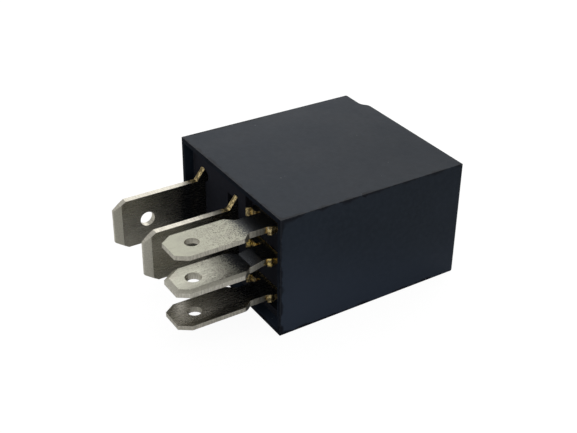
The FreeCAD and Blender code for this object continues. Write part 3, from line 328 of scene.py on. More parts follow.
@dataclass(frozen=True)
class Effects:
    """The node groups that several finishes share."""

    box_edge: bpy.types.NodeTree
    nick: bpy.types.NodeTree
    specks: bpy.types.NodeTree
    scuffs: bpy.types.NodeTree
    brushing: bpy.types.NodeTree
    sheared: bpy.types.NodeTree
    coined: bpy.types.NodeTree

    @classmethod
    def build(cls) -> "Effects":
        """Make each group once.

        Returns:
            The groups.
        """
        return cls(
            box_edge=cls.make_box_edge(),
            nick=cls.make_nick(),
            specks=cls.make_specks(),
            scuffs=cls.make_scuffs(),
            brushing=cls.make_brushing(),
            sheared=cls.make_sheared(),
            coined=cls.make_coined(),
        )

    @staticmethod
    def make_box_edge() -> bpy.types.NodeTree:
        """Mask along a box's edges: the two least distances to its faces add up to less than a width.

        Returns:
            The group, with Centre, Half Size, Width and Break Size in and Mask out.
        """
        graph, given, out = new_group(
            "worn_box_edge",
            {"Centre": (0.0, 0.0, 0.0), "Half Size": (1.0, 1.0, 1.0), "Width": 0.0003, "Break Size": 0.002},
            "Mask",
        )
        offset = graph.vector_math("SUBTRACT", graph.place(), given["Centre"]).outputs[0]
        away = graph.vector_math("ABSOLUTE", offset).outputs[0]
        depth = graph.vector_math("SUBTRACT", given["Half Size"], away).outputs[0]
        split = graph.node("SeparateXYZ")
        graph.feed(split.inputs[0], depth)
        x, y, z = (graph.math("MAXIMUM", s, 0.0) for s in split.outputs)
        along_x, along_y, along_z = (graph.math("ADD", *pair) for pair in ((y, z), (x, z), (x, y)))
        nearest = graph.math("MINIMUM", graph.math("MINIMUM", along_x, along_y), along_z)
        inverse = graph.math("DIVIDE", 1.0, given["Break Size"])
        broken = graph.node("TexNoise")
        graph.feed(broken.inputs["Vector"], graph.place())
        graph.feed(broken.inputs["Scale"], inverse)
        graph.feed(broken.inputs["Detail"], 5.0)
        share = graph.ramp(broken.outputs["Fac"], 0.30, 0.75)
        reach = graph.math("MULTIPLY", given["Width"], graph.math("ADD", share, 0.02))
        graph.feed(out.inputs["Mask"], graph.ramp(graph.math("DIVIDE", nearest, reach), 1.0, 0.3))
        return graph.tree

    @staticmethod
    def make_nick() -> bpy.types.NodeTree:
        """Mask of one small dent: a ball round a place, with a ragged border.

        Returns:
            The group, with Place and Radius in and Mask out.
        """
        graph, given, out = new_group("one_nick", {"Place": (0.0, 0.0, 0.0), "Radius": 0.0003}, "Mask")
        away = graph.vector_math("DISTANCE", graph.place(), given["Place"]).outputs["Value"]
        ragged = graph.noise(0.0002, 2.0)
        reach = graph.math("MULTIPLY", given["Radius"], graph.math("ADD", ragged, 0.5))
        graph.feed(out.inputs["Mask"], graph.math("LESS_THAN", away, reach))
        return graph.tree

    @staticmethod
    def make_specks() -> bpy.types.NodeTree:
        """Mask of small round specks: cells of scattered points, where only some cells hold one.

        Returns:
            The group, with Spacing, Radius and Share in and Mask out.
        """
        graph, given, out = new_group(
            "scattered_specks", {"Spacing": 0.001, "Radius": 0.0001, "Share": 0.2}, "Mask")
        cells = graph.node("TexVoronoi")
        graph.feed(cells.inputs["Vector"], graph.place())
        graph.feed(cells.inputs["Scale"], graph.math("DIVIDE", 1.0, given["Spacing"]))
        reach = graph.math("DIVIDE", given["Radius"], given["Spacing"])
        tone = graph.node("SeparateColor")
        graph.feed(tone.inputs[0], cells.outputs["Color"])
        size = graph.math("MULTIPLY", reach, graph.math("ADD", 0.4, tone.outputs[1]))
        spot = graph.math("LESS_THAN", cells.outputs["Distance"], size)
        held = graph.math("LESS_THAN", tone.outputs[0], given["Share"])
        graph.feed(out.inputs["Mask"], graph.math("MULTIPLY", spot, held))
        return graph.tree

    @staticmethod
    def make_scuffs() -> bpy.types.NodeTree:
        """Mask of thin scratches: narrow bands of a stretched noise at its middle value, in patches.

        Returns:
            The group, with Direction, Length, Thinness and Share in and Mask out.
        """
        graph, given, out = new_group(
            "thin_scuffs",
            {"Direction": (0.3, 0.2, 0.1), "Length": 0.003, "Thinness": 0.02, "Share": 0.4},
            "Mask",
        )
        turned = graph.node("Mapping", vector_type="TEXTURE")
        graph.feed(turned.inputs["Vector"], graph.place())
        graph.feed(turned.inputs["Rotation"], given["Direction"])
        graph.feed(turned.inputs["Scale"], (5.0, 1.0, 1.0))
        bands = graph.node("TexNoise")
        graph.feed(bands.inputs["Vector"], turned.outputs[0])
        graph.feed(bands.inputs["Scale"], graph.math("DIVIDE", 1.0, given["Length"]))
        graph.feed(bands.inputs["Detail"], 0.0)
        off_middle = graph.math("ABSOLUTE", graph.math("SUBTRACT", bands.outputs["Fac"], 0.5))
        line = graph.math("SUBTRACT", 1.0, graph.math("DIVIDE", off_middle, given["Thinness"]))
        patches = graph.node("TexNoise")
        graph.feed(patches.inputs["Vector"], graph.place())
        graph.feed(patches.inputs["Scale"], graph.math("DIVIDE", 1.6, given["Length"]))
        floor = graph.math("SUBTRACT", 1.0, given["Share"])
        patch = graph.math("MULTIPLY", graph.math("SUBTRACT", patches.outputs["Fac"], floor), 6.0)
        held = graph.math("MAXIMUM", graph.math("MINIMUM", patch, 1.0), 0.0)
        graph.feed(out.inputs["Mask"], graph.math("MULTIPLY", graph.math("MAXIMUM", line, 0.0), held))
        return graph.tree

    @staticmethod
    def make_brushing() -> bpy.types.NodeTree:
        """Fine lines left by rolling and brushing: noise drawn out along one axis.

        Returns:
            The group, with Stretch and Width in and Tone out.
        """
        graph, given, out = new_group(
            "brush_lines", {"Stretch": (1.0, 12.0, 1.0), "Width": 0.0002}, "Tone")
        drawn = graph.node("Mapping", vector_type="TEXTURE")
        graph.feed(drawn.inputs["Vector"], graph.place())
        graph.feed(drawn.inputs["Scale"], given["Stretch"])
        lines = graph.node("TexNoise")
        graph.feed(lines.inputs["Vector"], drawn.outputs[0])
        graph.feed(lines.inputs["Scale"], graph.math("DIVIDE", 1.0, given["Width"]))
        graph.feed(lines.inputs["Detail"], 3.0)
        graph.feed(lines.inputs["Roughness"], 0.65)
        graph.feed(out.inputs["Tone"], graph.ramp(lines.outputs["Fac"], 0.3, 0.7, False))
        return graph.tree

    @staticmethod
    def make_sheared() -> bpy.types.NodeTree:
        """Mask of a stamped sheet's cut sides: where the surface faces away from the thin axis.

        Returns:
            The group, with Thin Axis in and Mask out.
        """
        graph, given, out = new_group("cut_sides", {"Thin Axis": (0.0, 0.0, 1.0)}, "Mask")
        along = graph.vector_math("DOT_PRODUCT", graph.facing(), given["Thin Axis"]).outputs["Value"]
        graph.feed(out.inputs["Mask"], graph.ramp(graph.math("ABSOLUTE", along), 0.8, 0.6))
        return graph.tree

    @staticmethod
    def make_coined() -> bpy.types.NodeTree:
        """Mask of a sheet's pressed slopes: where the surface leans away from the thin axis a little.

        Returns:
            The group, with Thin Axis in and Mask out.
        """
        graph, given, out = new_group("pressed_slopes", {"Thin Axis": (0.0, 0.0, 1.0)}, "Mask")
        along = graph.vector_math("DOT_PRODUCT", graph.facing(), given["Thin Axis"]).outputs["Value"]
        graph.feed(out.inputs["Mask"], graph.ramp(graph.math("ABSOLUTE", along), 0.997, 0.985))
        return graph.tree


@dataclass(frozen=True)
class Finish:
    """What every finish has: a name, two tones of its colour and its roughness."""

    name: str
    tone: Colour
    second_tone: Colour
    roughness: float
    metallic: float = 0.0
    specular: float = 0.5
    rounding: float = 0.06 * MM
    rounding_samples: int = 6

    def start(self) -> tuple[bpy.types.Material, Graph, bpy.types.Node]:
        """Make the material with a shader on its output.

        Returns:
            The material, its graph and the shader's node.
        """
        material = bpy.data.materials.new(self.name)
        material.use_nodes = True
        material.node_tree.nodes.clear()
        graph = Graph(material.node_tree)
        shader = graph.node("BsdfPrincipled")
        output = graph.node("OutputMaterial")
        graph.tree.links.new(shader.outputs[0], output.inputs["Surface"])
        shader.inputs["Metallic"].default_value = self.metallic
        shader.inputs["Specular IOR Level"].default_value = self.specular
        return material, graph, shader

    def relief(self, graph: Graph, shader: bpy.types.Node, height: object, depth: float) -> None:
        """Round the edges in shading and press a fine relief into the surface.

        Args:
            graph: The material's graph.
            shader: The shader whose normal is set.
            height: Socket with the relief's height between 0 and 1.
            depth: Height of the relief in metres.
        """
        rounded = graph.node("Bevel", samples=self.rounding_samples)
        rounded.inputs["Radius"].default_value = self.rounding
        bump = graph.node("Bump")
        graph.feed(bump.inputs["Height"], height)
        graph.feed(bump.inputs["Strength"], 1.0)
        graph.feed(bump.inputs["Distance"], depth)
        graph.feed(bump.inputs["Normal"], rounded.outputs[0])
        graph.feed(shader.inputs["Normal"], bump.outputs[0])


@dataclass(frozen=True)
class Bloom:
    """A soft round patch of another tone and dullness: painted light and shade, lighter where the floor's
    bounce light would fall and darker where the sheen fades.
    """

    place: Place
    radius: float
    tone: Colour
    share: float
    dulling: float = 0.0

    def mask(self, graph: Graph) -> bpy.types.NodeSocket:
        """How strongly the patch shows, from 1 in its middle to 0 at its rim.

        Args:
            graph: The material's graph.

        Returns:
            The mask's socket.
        """
        distance = graph.vector_math("DISTANCE", graph.place(), self.place).outputs["Value"]
        return graph.ramp(distance, self.radius, 0.0)


@dataclass(frozen=True)
class MouldedPlastic(Finish):
    """Moulded plastic or enamel with a fine grain, tinted edges and rim (painted shade where the tone is
    dark, wear where it is pale), patches of painted light and shade, dust and a few scuffs.
    """

    grain_size: float = 0.20 * MM
    coarse_grain_size: float = 1.0 * MM
    grain_depth: float = 0.011 * MM
    grain_share: float = 0.7
    coarse_share: float = 0.3
    coarse_dulling: float = 0.06
    mottle_size: float = 0.60 * MM
    mottle_share: float = 0.32
    cloud_size: float = 7.0 * MM
    cloud_tone: Colour = (0.0300, 0.0380, 0.0520)
    haze_size: float = 11.9 * MM
    haze_share: float = 0.5
    # Round patches of painted light and shade laid over the colour.
    blooms: tuple[Bloom, ...] = ()
    # Tone of the edge band, the rim and the nick: painted shade when dark, as on the cover; wear when pale.
    worn_tone: Colour = (0.001, 0.003, 0.008)
    worn_share: float = 0.95
    edge_width: float = 1.0 * MM
    rim_share: float = 0.75
    rim_dulling: float = 0.4
    chip_tone: Colour = (0.12, 0.13, 0.15)
    chip_share: float = 0.22
    chip_width: float = 0.32 * MM
    chip_size: float = 0.35 * MM
    dust_tone: Colour = (0.10, 0.11, 0.12)
    dust_share: float = 0.16
    dust_spacing: float = 1.1 * MM
    dust_radius: float = 0.06 * MM
    dust_cover: float = 0.6
    scuff_tone: Colour = (0.040, 0.046, 0.058)
    scuff_share: float = 0.30
    scuff_depth: float = 0.4
    nick_depth: float = 4.0
    nick_place: Place = (0.0, 0.0, 0.0)
    nick_radius: float = 0.0

    def material(self, effects: Effects, centre: Place, half_size: Place) -> bpy.types.Material:
        """Build the material for a box-shaped moulding.

        Args:
            effects: The shared node groups.
            centre: Middle of the moulding's box.
            half_size: Half its sizes.

        Returns:
            The material.
        """
        material, graph, shader = self.start()
        clouds = graph.noise(self.cloud_size, 4.0)
        grain = graph.noise(self.grain_size, 3.0)
        coarse = graph.noise(self.coarse_grain_size, 2.0)
        scuffs = self.scuff_mask(graph, effects)
        nick = graph.group(effects.nick, place=self.nick_place, radius=self.nick_radius).outputs["Mask"]
        sides = graph.group(effects.sheared, thin_axis=PlateAxis.Y.value).outputs["Mask"]
        rim = graph.math("SUBTRACT", 1.0, sides)
        smear = graph.blend(graph.ramp(clouds, 0.35, 0.65), -0.015, 0.02)
        base = self.clouded_tone(graph, clouds)
        # Painted light and shade: each patch lightens or darkens the colour where the light falls
        # differently.
        for bloom in self.blooms:
            patch = bloom.mask(graph)
            base = graph.tint(base, patch, bloom.share, bloom.tone)
            smear = graph.total((smear, 1.0), (patch, bloom.dulling))
        base = graph.tint(base, scuffs, self.scuff_share, self.scuff_tone)
        base = self.worn_edges(graph, effects, base, rim, centre, half_size)
        # The nick is a dent pressed into the relief; its dark colour is painted shade in the dent.
        base = graph.mix(nick, base, self.worn_tone)
        rough = graph.total(
            (smear, 1.0), (self.roughness, 1.0), (coarse, self.coarse_dulling), (rim, self.rim_dulling))
        height = graph.total(
            (grain, self.grain_share), (coarse, self.coarse_share), (scuffs, -self.scuff_depth),
            (nick, -self.nick_depth))
        graph.feed(shader.inputs["Base Color"], base)
        graph.feed(shader.inputs["Roughness"], rough)
        self.relief(graph, shader, height, self.grain_depth)
        return material

    def clouded_tone(self, graph: Graph, clouds: bpy.types.NodeSocket) -> bpy.types.NodeSocket:
        """The plastic's own colour: two tones in clouds, a fine mottle and patches of pale haze.

        Args:
            graph: The material's graph.
            clouds: The clouds' noise.

        Returns:
            The colour's socket.
        """
        base = graph.mix(graph.ramp(clouds, 0.3, 0.7), self.tone, self.second_tone)
        mottle = graph.ramp(graph.noise(self.mottle_size, 3.0), 0.35, 0.70)
        base = graph.tint(base, mottle, self.mottle_share, self.cloud_tone)
        haze = graph.ramp(graph.noise(self.haze_size, 3.0), 0.52, 0.80)
        return graph.tint(base, haze, self.haze_share, self.cloud_tone)

    def scuff_mask(self, graph: Graph, effects: Effects) -> bpy.types.NodeSocket:
        """Two sets of faint scratches that cross each other.

        Args:
            graph: The material's graph.
            effects: The shared node groups.

        Returns:
            The mask's socket.
        """
        long = graph.group(
            effects.scuffs, length=3.5 * MM, thinness=0.012, share=0.40).outputs["Mask"]
        short = graph.group(
            effects.scuffs, length=2.2 * MM, thinness=0.014, direction=(0.4, 1.1, 0.9),
            share=0.36).outputs["Mask"]
        return graph.math("MAXIMUM", long, short)

    def worn_edges(
        self, graph: Graph, effects: Effects, base: object, rim: object, centre: Place, half_size: Place
    ) -> bpy.types.NodeSocket:
        """Tint the edges and the rim with the wear-and-shade tone, chip the edges and scatter dust; a dark
        tone is painted shade (a dark edge line, the gap's shadow at the rim), a pale one is wear.

        Args:
            graph: The material's graph.
            effects: The shared node groups.
            base: Socket of the colour so far.
            rim: Mask of the faces that look along Y.
            centre: Middle of the moulding's box.
            half_size: Half its sizes.

        Returns:
            The colour's socket.
        """
        edge = graph.group(
            effects.box_edge, centre=centre, half_size=half_size, width=self.edge_width).outputs["Mask"]
        chips = graph.group(
            effects.box_edge, centre=centre, half_size=half_size, width=self.chip_width,
            break_size=self.chip_size).outputs["Mask"]
        dust = graph.group(
            effects.specks, spacing=self.dust_spacing, radius=self.dust_radius,
            share=self.dust_share).outputs["Mask"]
        # Edge band in the wear-and-shade tone: a painted dark line on the cover, pale wear on the other
        # mouldings.
        base = graph.tint(base, edge, self.worn_share, self.worn_tone)
        # Faces that look along Y, the rim and the closed end: painted shade of the gap between cover and
        # base.
        base = graph.tint(base, rim, self.rim_share, self.worn_tone)
        base = graph.tint(base, chips, self.chip_share, self.chip_tone)
        return graph.tint(base, dust, self.dust_cover, self.dust_tone)


@dataclass(frozen=True)
class StampedSheet(Finish):
    """Rolled and plated sheet metal: brushed faces, rough cut sides (paler on the blades as painted
    highlight), a bare root, and faces darkened towards the root (painted shade and dark reflection of the
    base on the blades, a light tarnish on the hidden iron and bronze).

    Places along the sheet are along Y, where a blade's tip is at the low end. The root starts a metre
    away unless it is given, which leaves the plating whole.
    """

    # Tone of the cut sides: their own tone on the iron and bronze; on the blades paler, partly painted
    # highlight of cut walls that catch the lamp.
    cut_tone: Colour = (0.68, 0.64, 0.55)
    cut_roughness: float = 0.42
    coined_tone: Colour = (0.74, 0.72, 0.62)
    coined_roughness: float = 0.40
    coined_limit: float = -9.8 * MM
    coined_softness: float = 0.2 * MM
    brush_width: float = 0.16 * MM
    brush_depth: float = 0.001 * MM
    brush_share: float = 0.30
    brush_dulling: float = 0.10
    face_draw: float = 14.0
    side_draw: float = 5.0
    side_streak_share: float = 0.7
    slope_streak_share: float = 0.5
    cloud_size: float = 1.6 * MM
    scuff_cover: float = 0.35
    spot_tone: Colour = (0.16, 0.14, 0.12)
    spot_share: float = 0.5
    spot_cover: float = 0.75
    spot_dulling: float = 0.25
    spot_spacing: float = 0.23 * MM
    spot_radius: float = 0.07 * MM
    spot_start: float = -18.0 * MM
    spot_end: float = -10.0 * MM
    pore_size: float = 0.12 * MM
    pore_cover: float = 0.35
    grit_size: float = 0.17 * MM
    grit_share: float = 0.15
    # Darkening towards the root: painted shade and painted reflection of the dark base on the blades, a light
    # tarnish on the hidden iron and bronze.
    tarnish_tone: Colour = (0.060, 0.065, 0.075)
    tarnish_share: float = 0.9
    tarnish_start: float = -10.4 * MM
    tarnish_end: float = -8.8 * MM
    tarnish_wander: float = 4.0 * MM
    root_tone: Colour = (0.95, 0.76, 0.38)
    patina_tone: Colour = (0.26, 0.20, 0.10)
    root_start: float = 1.0
    root_end: float = 2.0
    root_wander: float = 1.2 * MM
    root_border_size: float = 0.6 * MM
    root_patch_size: float = 0.38 * MM
    root_lump_size: float = 0.3 * MM
    root_lumps: float = 30.0
    face_share: float = 0.06
    hidden_start: float = -5.8 * MM
    hidden_end: float = -5.0 * MM

    def material(self, effects: Effects, thin: PlateAxis, along: PlateAxis) -> bpy.types.Material:
        """Build the material for a sheet piece.

        Args:
            effects: The shared node groups.
            thin: The axis along which the sheet is thin.
            along: The axis along which it was rolled.

        Returns:
            The material.
        """
        material, graph, shader = self.start()
        brush = self.drawn_lines(graph, effects, along, self.face_draw)
        streaks = self.drawn_lines(graph, effects, thin, self.side_draw)
        cut = graph.group(effects.sheared, thin_axis=thin.value).outputs["Mask"]
        coined = self.coined_mask(graph, effects, thin)
        spots = self.spot_mask(graph, effects)
        deep = graph.ramp(graph.along_y(), self.hidden_start, self.hidden_end)
        root = self.root_mask(graph, cut, deep)
        # Cut sides; on the blades their pale tone is partly painted highlight.
        side = graph.tint(self.cut_tone, streaks, self.side_streak_share, self.second_tone)
        pressed = graph.tint(self.coined_tone, streaks, self.slope_streak_share, self.second_tone)
        face = graph.mix(coined, self.face_tone(graph, effects, brush, spots), pressed)
        colour = graph.mix(root, graph.mix(cut, face, side), self.bare_tone(graph, deep))
        rough = graph.total((self.roughness, 1.0), (brush, self.brush_dulling), (spots, self.spot_dulling))
        rough = graph.blend(cut, graph.blend(coined, rough, self.coined_roughness), self.cut_roughness)
        lumps = graph.math("MULTIPLY", graph.noise(self.root_lump_size, 2.0), root)
        height = graph.total((graph.blend(cut, brush, streaks), 1.0), (lumps, self.root_lumps))
        graph.feed(shader.inputs["Base Color"], colour)
        graph.feed(shader.inputs["Roughness"], rough)
        self.relief(graph, shader, height, self.brush_depth)
        return material

    def drawn_lines(
        self, graph: Graph, effects: Effects, axis: PlateAxis, draw: float
    ) -> bpy.types.NodeSocket:
        """Fine lines along an axis.

        Args:
            graph: The material's graph.
            effects: The shared node groups.
            axis: The axis.
            draw: How much longer than wide the lines are, less one.

        Returns:
            The lines' socket.
        """
        stretch = tuple(1.0 + draw * part for part in axis.value)
        return graph.group(effects.brushing, stretch=stretch, width=self.brush_width).outputs["Tone"]

    def coined_mask(self, graph: Graph, effects: Effects, thin: PlateAxis) -> bpy.types.NodeSocket:
        """The pressed slopes of a blade, and none of its neck's.

        Args:
            graph: The material's graph.
            effects: The shared node groups.
            thin: The axis along which the sheet is thin.

        Returns:
            The mask's socket.
        """
        slopes = graph.group(effects.coined, thin_axis=thin.value).outputs["Mask"]
        outer = graph.ramp(
            graph.along_y(), self.coined_limit + self.coined_softness,
            self.coined_limit - self.coined_softness)
        return graph.math("MULTIPLY", slopes, outer)

    def spot_mask(self, graph: Graph, effects: Effects) -> bpy.types.NodeSocket:
        """Dark specks that grow in number towards the root.

        Args:
            graph: The material's graph.
            effects: The shared node groups.

        Returns:
            The mask's socket.
        """
        spots = graph.group(
            effects.specks, spacing=self.spot_spacing, radius=self.spot_radius,
            share=self.spot_share).outputs["Mask"]
        return graph.math("MULTIPLY", spots, graph.ramp(graph.along_y(), self.spot_start, self.spot_end))

    def root_mask(self, graph: Graph, cut: object, deep: object) -> bpy.types.NodeSocket:
        """Where the plating ends: at a ragged line, mostly on the cut sides, and all over inside.

        Args:
            graph: The material's graph.
            cut: Mask of the cut sides.
            deep: Mask of the part inside the base.

        Returns:
            The mask's socket.
        """
        ragged = graph.math("SUBTRACT", graph.noise(self.root_border_size, 3.0), 0.5)
        place = graph.total((graph.along_y(), 1.0), (ragged, self.root_wander))
        held = graph.math("MAXIMUM", graph.math("MAXIMUM", cut, self.face_share), deep)
        return graph.math("MULTIPLY", graph.ramp(place, self.root_start, self.root_end), held)

    def bare_tone(self, graph: Graph, deep: object) -> bpy.types.NodeSocket:
        """Bare metal in patches between dull patina, and clean inside the base.

        Args:
            graph: The material's graph.
            deep: Mask of the part inside the base.

        Returns:
            The colour's socket.
        """
        patches = graph.ramp(graph.noise(self.root_patch_size, 3.0), 0.54, 0.42)
        bare = graph.math("MAXIMUM", patches, deep)
        return graph.mix(bare, self.patina_tone, self.root_tone)

    def face_tone(
        self, graph: Graph, effects: Effects, brush: object, spots: object
    ) -> bpy.types.NodeSocket:
        """Plated face: brush lines, clouds, scratches, specks, pores, and darkening towards the root, which
        on the blades is painted shade and dark reflection of the base.

        Args:
            graph: The material's graph.
            effects: The shared node groups.
            brush: The brush lines.
            spots: Mask of the specks.

        Returns:
            The colour's socket.
        """
        length = graph.along_y()
        face = graph.tint(self.tone, brush, self.brush_share, self.second_tone)
        face = graph.mix(graph.ramp(graph.noise(self.cloud_size, 4.0), 0.45, 0.75), face, self.second_tone)
        scuffs = graph.group(
            effects.scuffs, length=1.1 * MM, thinness=0.03, direction=(0.1, 0.2, 1.2),
            share=0.5).outputs["Mask"]
        face = graph.tint(face, scuffs, self.scuff_cover, self.spot_tone)
        face = graph.tint(face, spots, self.spot_cover, self.spot_tone)
        grit = graph.noise(self.grit_size, 2.0)
        rising = graph.ramp(length, self.spot_start, self.spot_end)
        grains = graph.math("MULTIPLY", graph.ramp(grit, 0.50, 0.60), rising)
        face = graph.tint(face, grains, self.grit_share, self.spot_tone)
        pores = graph.ramp(graph.noise(self.pore_size, 2.0), 0.60, 0.72)
        face = graph.tint(face, pores, self.pore_cover, self.spot_tone)
        # Painted shade and dark reflection towards the root, with a ragged border.
        ragged = graph.math("SUBTRACT", grit, 0.5)
        place = graph.total((length, 1.0), (ragged, self.tarnish_wander))
        tarnish = graph.ramp(place, self.tarnish_start, self.tarnish_end)
        return graph.tint(face, tarnish, self.tarnish_share, self.tarnish_tone)


@dataclass(frozen=True)
class SolidMetal(Finish):
    """Turned, cast or drawn metal with faint tool lines and a mottled tone."""

    line_width: float = 0.12 * MM
    line_depth: float = 0.002 * MM
    line_draw: float = 9.0
    line_share: float = 0.35
    cloud_size: float = 1.2 * MM
    cloud_share: float = 0.6
    cloud_dulling: float = 0.12

    def material(self, effects: Effects, along: PlateAxis) -> bpy.types.Material:
        """Build the material.

        Args:
            effects: The shared node groups.
            along: The axis of the tool lines.

        Returns:
            The material.
        """
        material, graph, shader = self.start()
        stretch = tuple(1.0 + self.line_draw * part for part in along.value)
        lines = graph.group(effects.brushing, stretch=stretch, width=self.line_width).outputs["Tone"]
        clouds = graph.ramp(graph.noise(self.cloud_size, 4.0), 0.35, 0.7)
        mixed = graph.total((lines, self.line_share), (clouds, self.cloud_share))
        graph.feed(shader.inputs["Base Color"], graph.mix(mixed, self.tone, self.second_tone))
        rough = graph.total((self.roughness, 1.0), (clouds, self.cloud_dulling))
        graph.feed(shader.inputs["Roughness"], rough)
        self.relief(graph, shader, lines, self.line_depth)
        return material


def middle_and_half(name: str) -> tuple[Place, Place]:
    """Middle and half sizes of a node's box.

    Args:
        name: The node's name.

    Returns:
        The middle and the three half sizes.
    """
    low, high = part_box(name)
    return tuple((low + high) / 2), tuple((high - low) / 2)


@dataclass
class CarriedPieces:
    """CAD nodes that keep their shape and get a finish."""

    nodes: dict[str, bpy.types.Object]

    def dress(self, name: str, material: bpy.types.Material) -> None:
        """Put a material in every slot of a node.

        Args:
            name: The node's name.
            material: Its finish.
        """
        mesh = self.nodes[name].data
        if not mesh.materials:
            mesh.materials.append(material)
        for index in range(len(mesh.materials)):
            mesh.materials[index] = material
        LOG.info("dressed %s in %s", name, material.name)


@dataclass
class Housing(CarriedPieces):
    """The cover and the base."""

    # The cover's dark edge band and rim are painted shade: the dark line along its edges and the shadow of
    # the gap at its rim.
    cover_finish: MouldedPlastic = MouldedPlastic(
        name="cover_plastic", tone=(0.0108, 0.0180, 0.0290), second_tone=(0.0138, 0.0222, 0.0350),
        cloud_tone=(0.0230, 0.0330, 0.0500), roughness=0.44, specular=0.145, rounding=0.03 * MM,
        edge_width=0.90 * MM, chip_share=0.10, nick_place=(11.47 * MM, 3.9 * MM, 15.3 * MM),
        nick_radius=0.45 * MM, dust_tone=(0.17, 0.18, 0.19),
        # Painted light: the three pale patches low on the +X side stand for the floor's bounce light; the
        # large dark patch at the far top end is painted shade where the sheen fades.
        blooms=(
            Bloom(place=(11.5 * MM, -6.0 * MM, 0.0), radius=15.0 * MM, tone=(0.034, 0.047, 0.074), share=0.9),
            Bloom(place=(11.5 * MM, 6.0 * MM, -3.0 * MM), radius=14.0 * MM, tone=(0.032, 0.045, 0.072),
                  share=0.8),
            Bloom(place=(11.5 * MM, 16.0 * MM, -2.0 * MM), radius=10.0 * MM, tone=(0.030, 0.041, 0.064),
                  share=0.6),
            Bloom(place=(7.0 * MM, 21.0 * MM, 24.0 * MM), radius=30.0 * MM, tone=(0.004, 0.008, 0.014),
                  share=0.5, dulling=0.08)))
    base_finish: MouldedPlastic = MouldedPlastic(
        name="base_plastic", tone=(0.0180, 0.0190, 0.0250), second_tone=(0.0220, 0.0230, 0.0300),
        roughness=0.50, specular=0.03, dust_share=0.22, edge_width=0.12 * MM,
        worn_tone=(0.03, 0.033, 0.04), cloud_tone=(0.027, 0.029, 0.037), rim_share=0.0)

    def build(self, effects: Effects) -> None:
        """Dress both mouldings, each with its own box for the edge band of wear and painted shade.

        Args:
            effects: The shared node groups.
        """
        for name, finish in (("cover", self.cover_finish), ("base", self.base_finish)):
            self.dress(name, finish.material(effects, *middle_and_half(name)))


@dataclass
class Terminals(CarriedPieces):
    """The five blades with their roots and inner posts."""

    wide_root: tuple[float, float] = (-8.5 * MM, -7.7 * MM)
    narrow_root: tuple[float, float] = (-7.35 * MM, -6.8 * MM)
    tin: Colour = (0.52, 0.50, 0.43)
    dull_tin: Colour = (0.41, 0.39, 0.33)
    # Pale cut sides: partly painted highlight of the lit cut walls.
    cut_tin: Colour = (0.84, 0.80, 0.69)

    def blade(self, name: str, root: tuple[float, float], **changes: object) -> StampedSheet:
        """The finish of one blade.

        Args:
            name: The terminal's name.
            root: Where along Y the bare brass of its root starts and is full.
            changes: Values that differ from the other blades'.

        Returns:
            The finish.
        """
        values = {
            "tone": self.tin,
            "second_tone": self.dull_tin,
            "cut_tone": self.cut_tin,
            "roughness": 0.27,
            "metallic": 0.94,
            "root_start": root[0],
            "root_end": root[1],
        }
        values.update(changes)
        return StampedSheet(name=name + "_tin", **values)

    def wide_finishes(self) -> dict[str, StampedSheet]:
        """Finishes of the two wide blades.

        Returns:
            The finishes by the terminals' names.
        """
        return {
            "terminal_30": self.blade("terminal_30", self.wide_root, roughness=0.22),
            "terminal_87": self.blade(
                "terminal_87", self.wide_root, tone=(0.47, 0.46, 0.385), roughness=0.22, spot_share=0.2,
                coined_tone=(0.87, 0.85, 0.75)),
        }

    def narrow_finishes(self) -> dict[str, StampedSheet]:
        """Finishes of the three narrow blades, which differ in how spotted they are; their different tones of
        the one plating are painted light and shade, each set to that blade's brightness in this light.

        Returns:
            The finishes by the terminals' names.
        """
        return {
            "terminal_86": self.blade(
                "terminal_86", self.narrow_root, tone=(0.358, 0.358, 0.285),
                second_tone=(0.31, 0.305, 0.25), roughness=0.29, spot_share=0.8, grit_share=0.75),
            "terminal_87a": self.blade(
                "terminal_87a", self.narrow_root, tone=(0.435, 0.435, 0.36), roughness=0.25,
                # Paler cut sides: painted highlight.
                cut_tone=(1.0, 0.97, 0.85), spot_share=0.8, grit_share=0.75,
                root_tone=(1.0, 0.76, 0.27),
                # Root darkening that reaches further out: painted shade and dark reflection of the base.
                tarnish_start=-11.1 * MM, tarnish_end=-9.7 * MM, tarnish_share=0.96),
            "terminal_85": self.blade(
                "terminal_85", self.narrow_root, tone=(0.38, 0.36, 0.315),
                second_tone=(0.33, 0.315, 0.275), roughness=0.22, spot_share=0.35,
                coined_tone=(0.52, 0.50, 0.43)),
        }

    def build(self, effects: Effects) -> None:
        """Dress each terminal, with the differences that the five blades show.

        Args:
            effects: The shared node groups.
        """
        for finishes, thin in ((self.wide_finishes(), PlateAxis.X), (self.narrow_finishes(), PlateAxis.Z)):
            for name, finish in finishes.items():
                self.dress(name, finish.material(effects, thin, PlateAxis.Y))


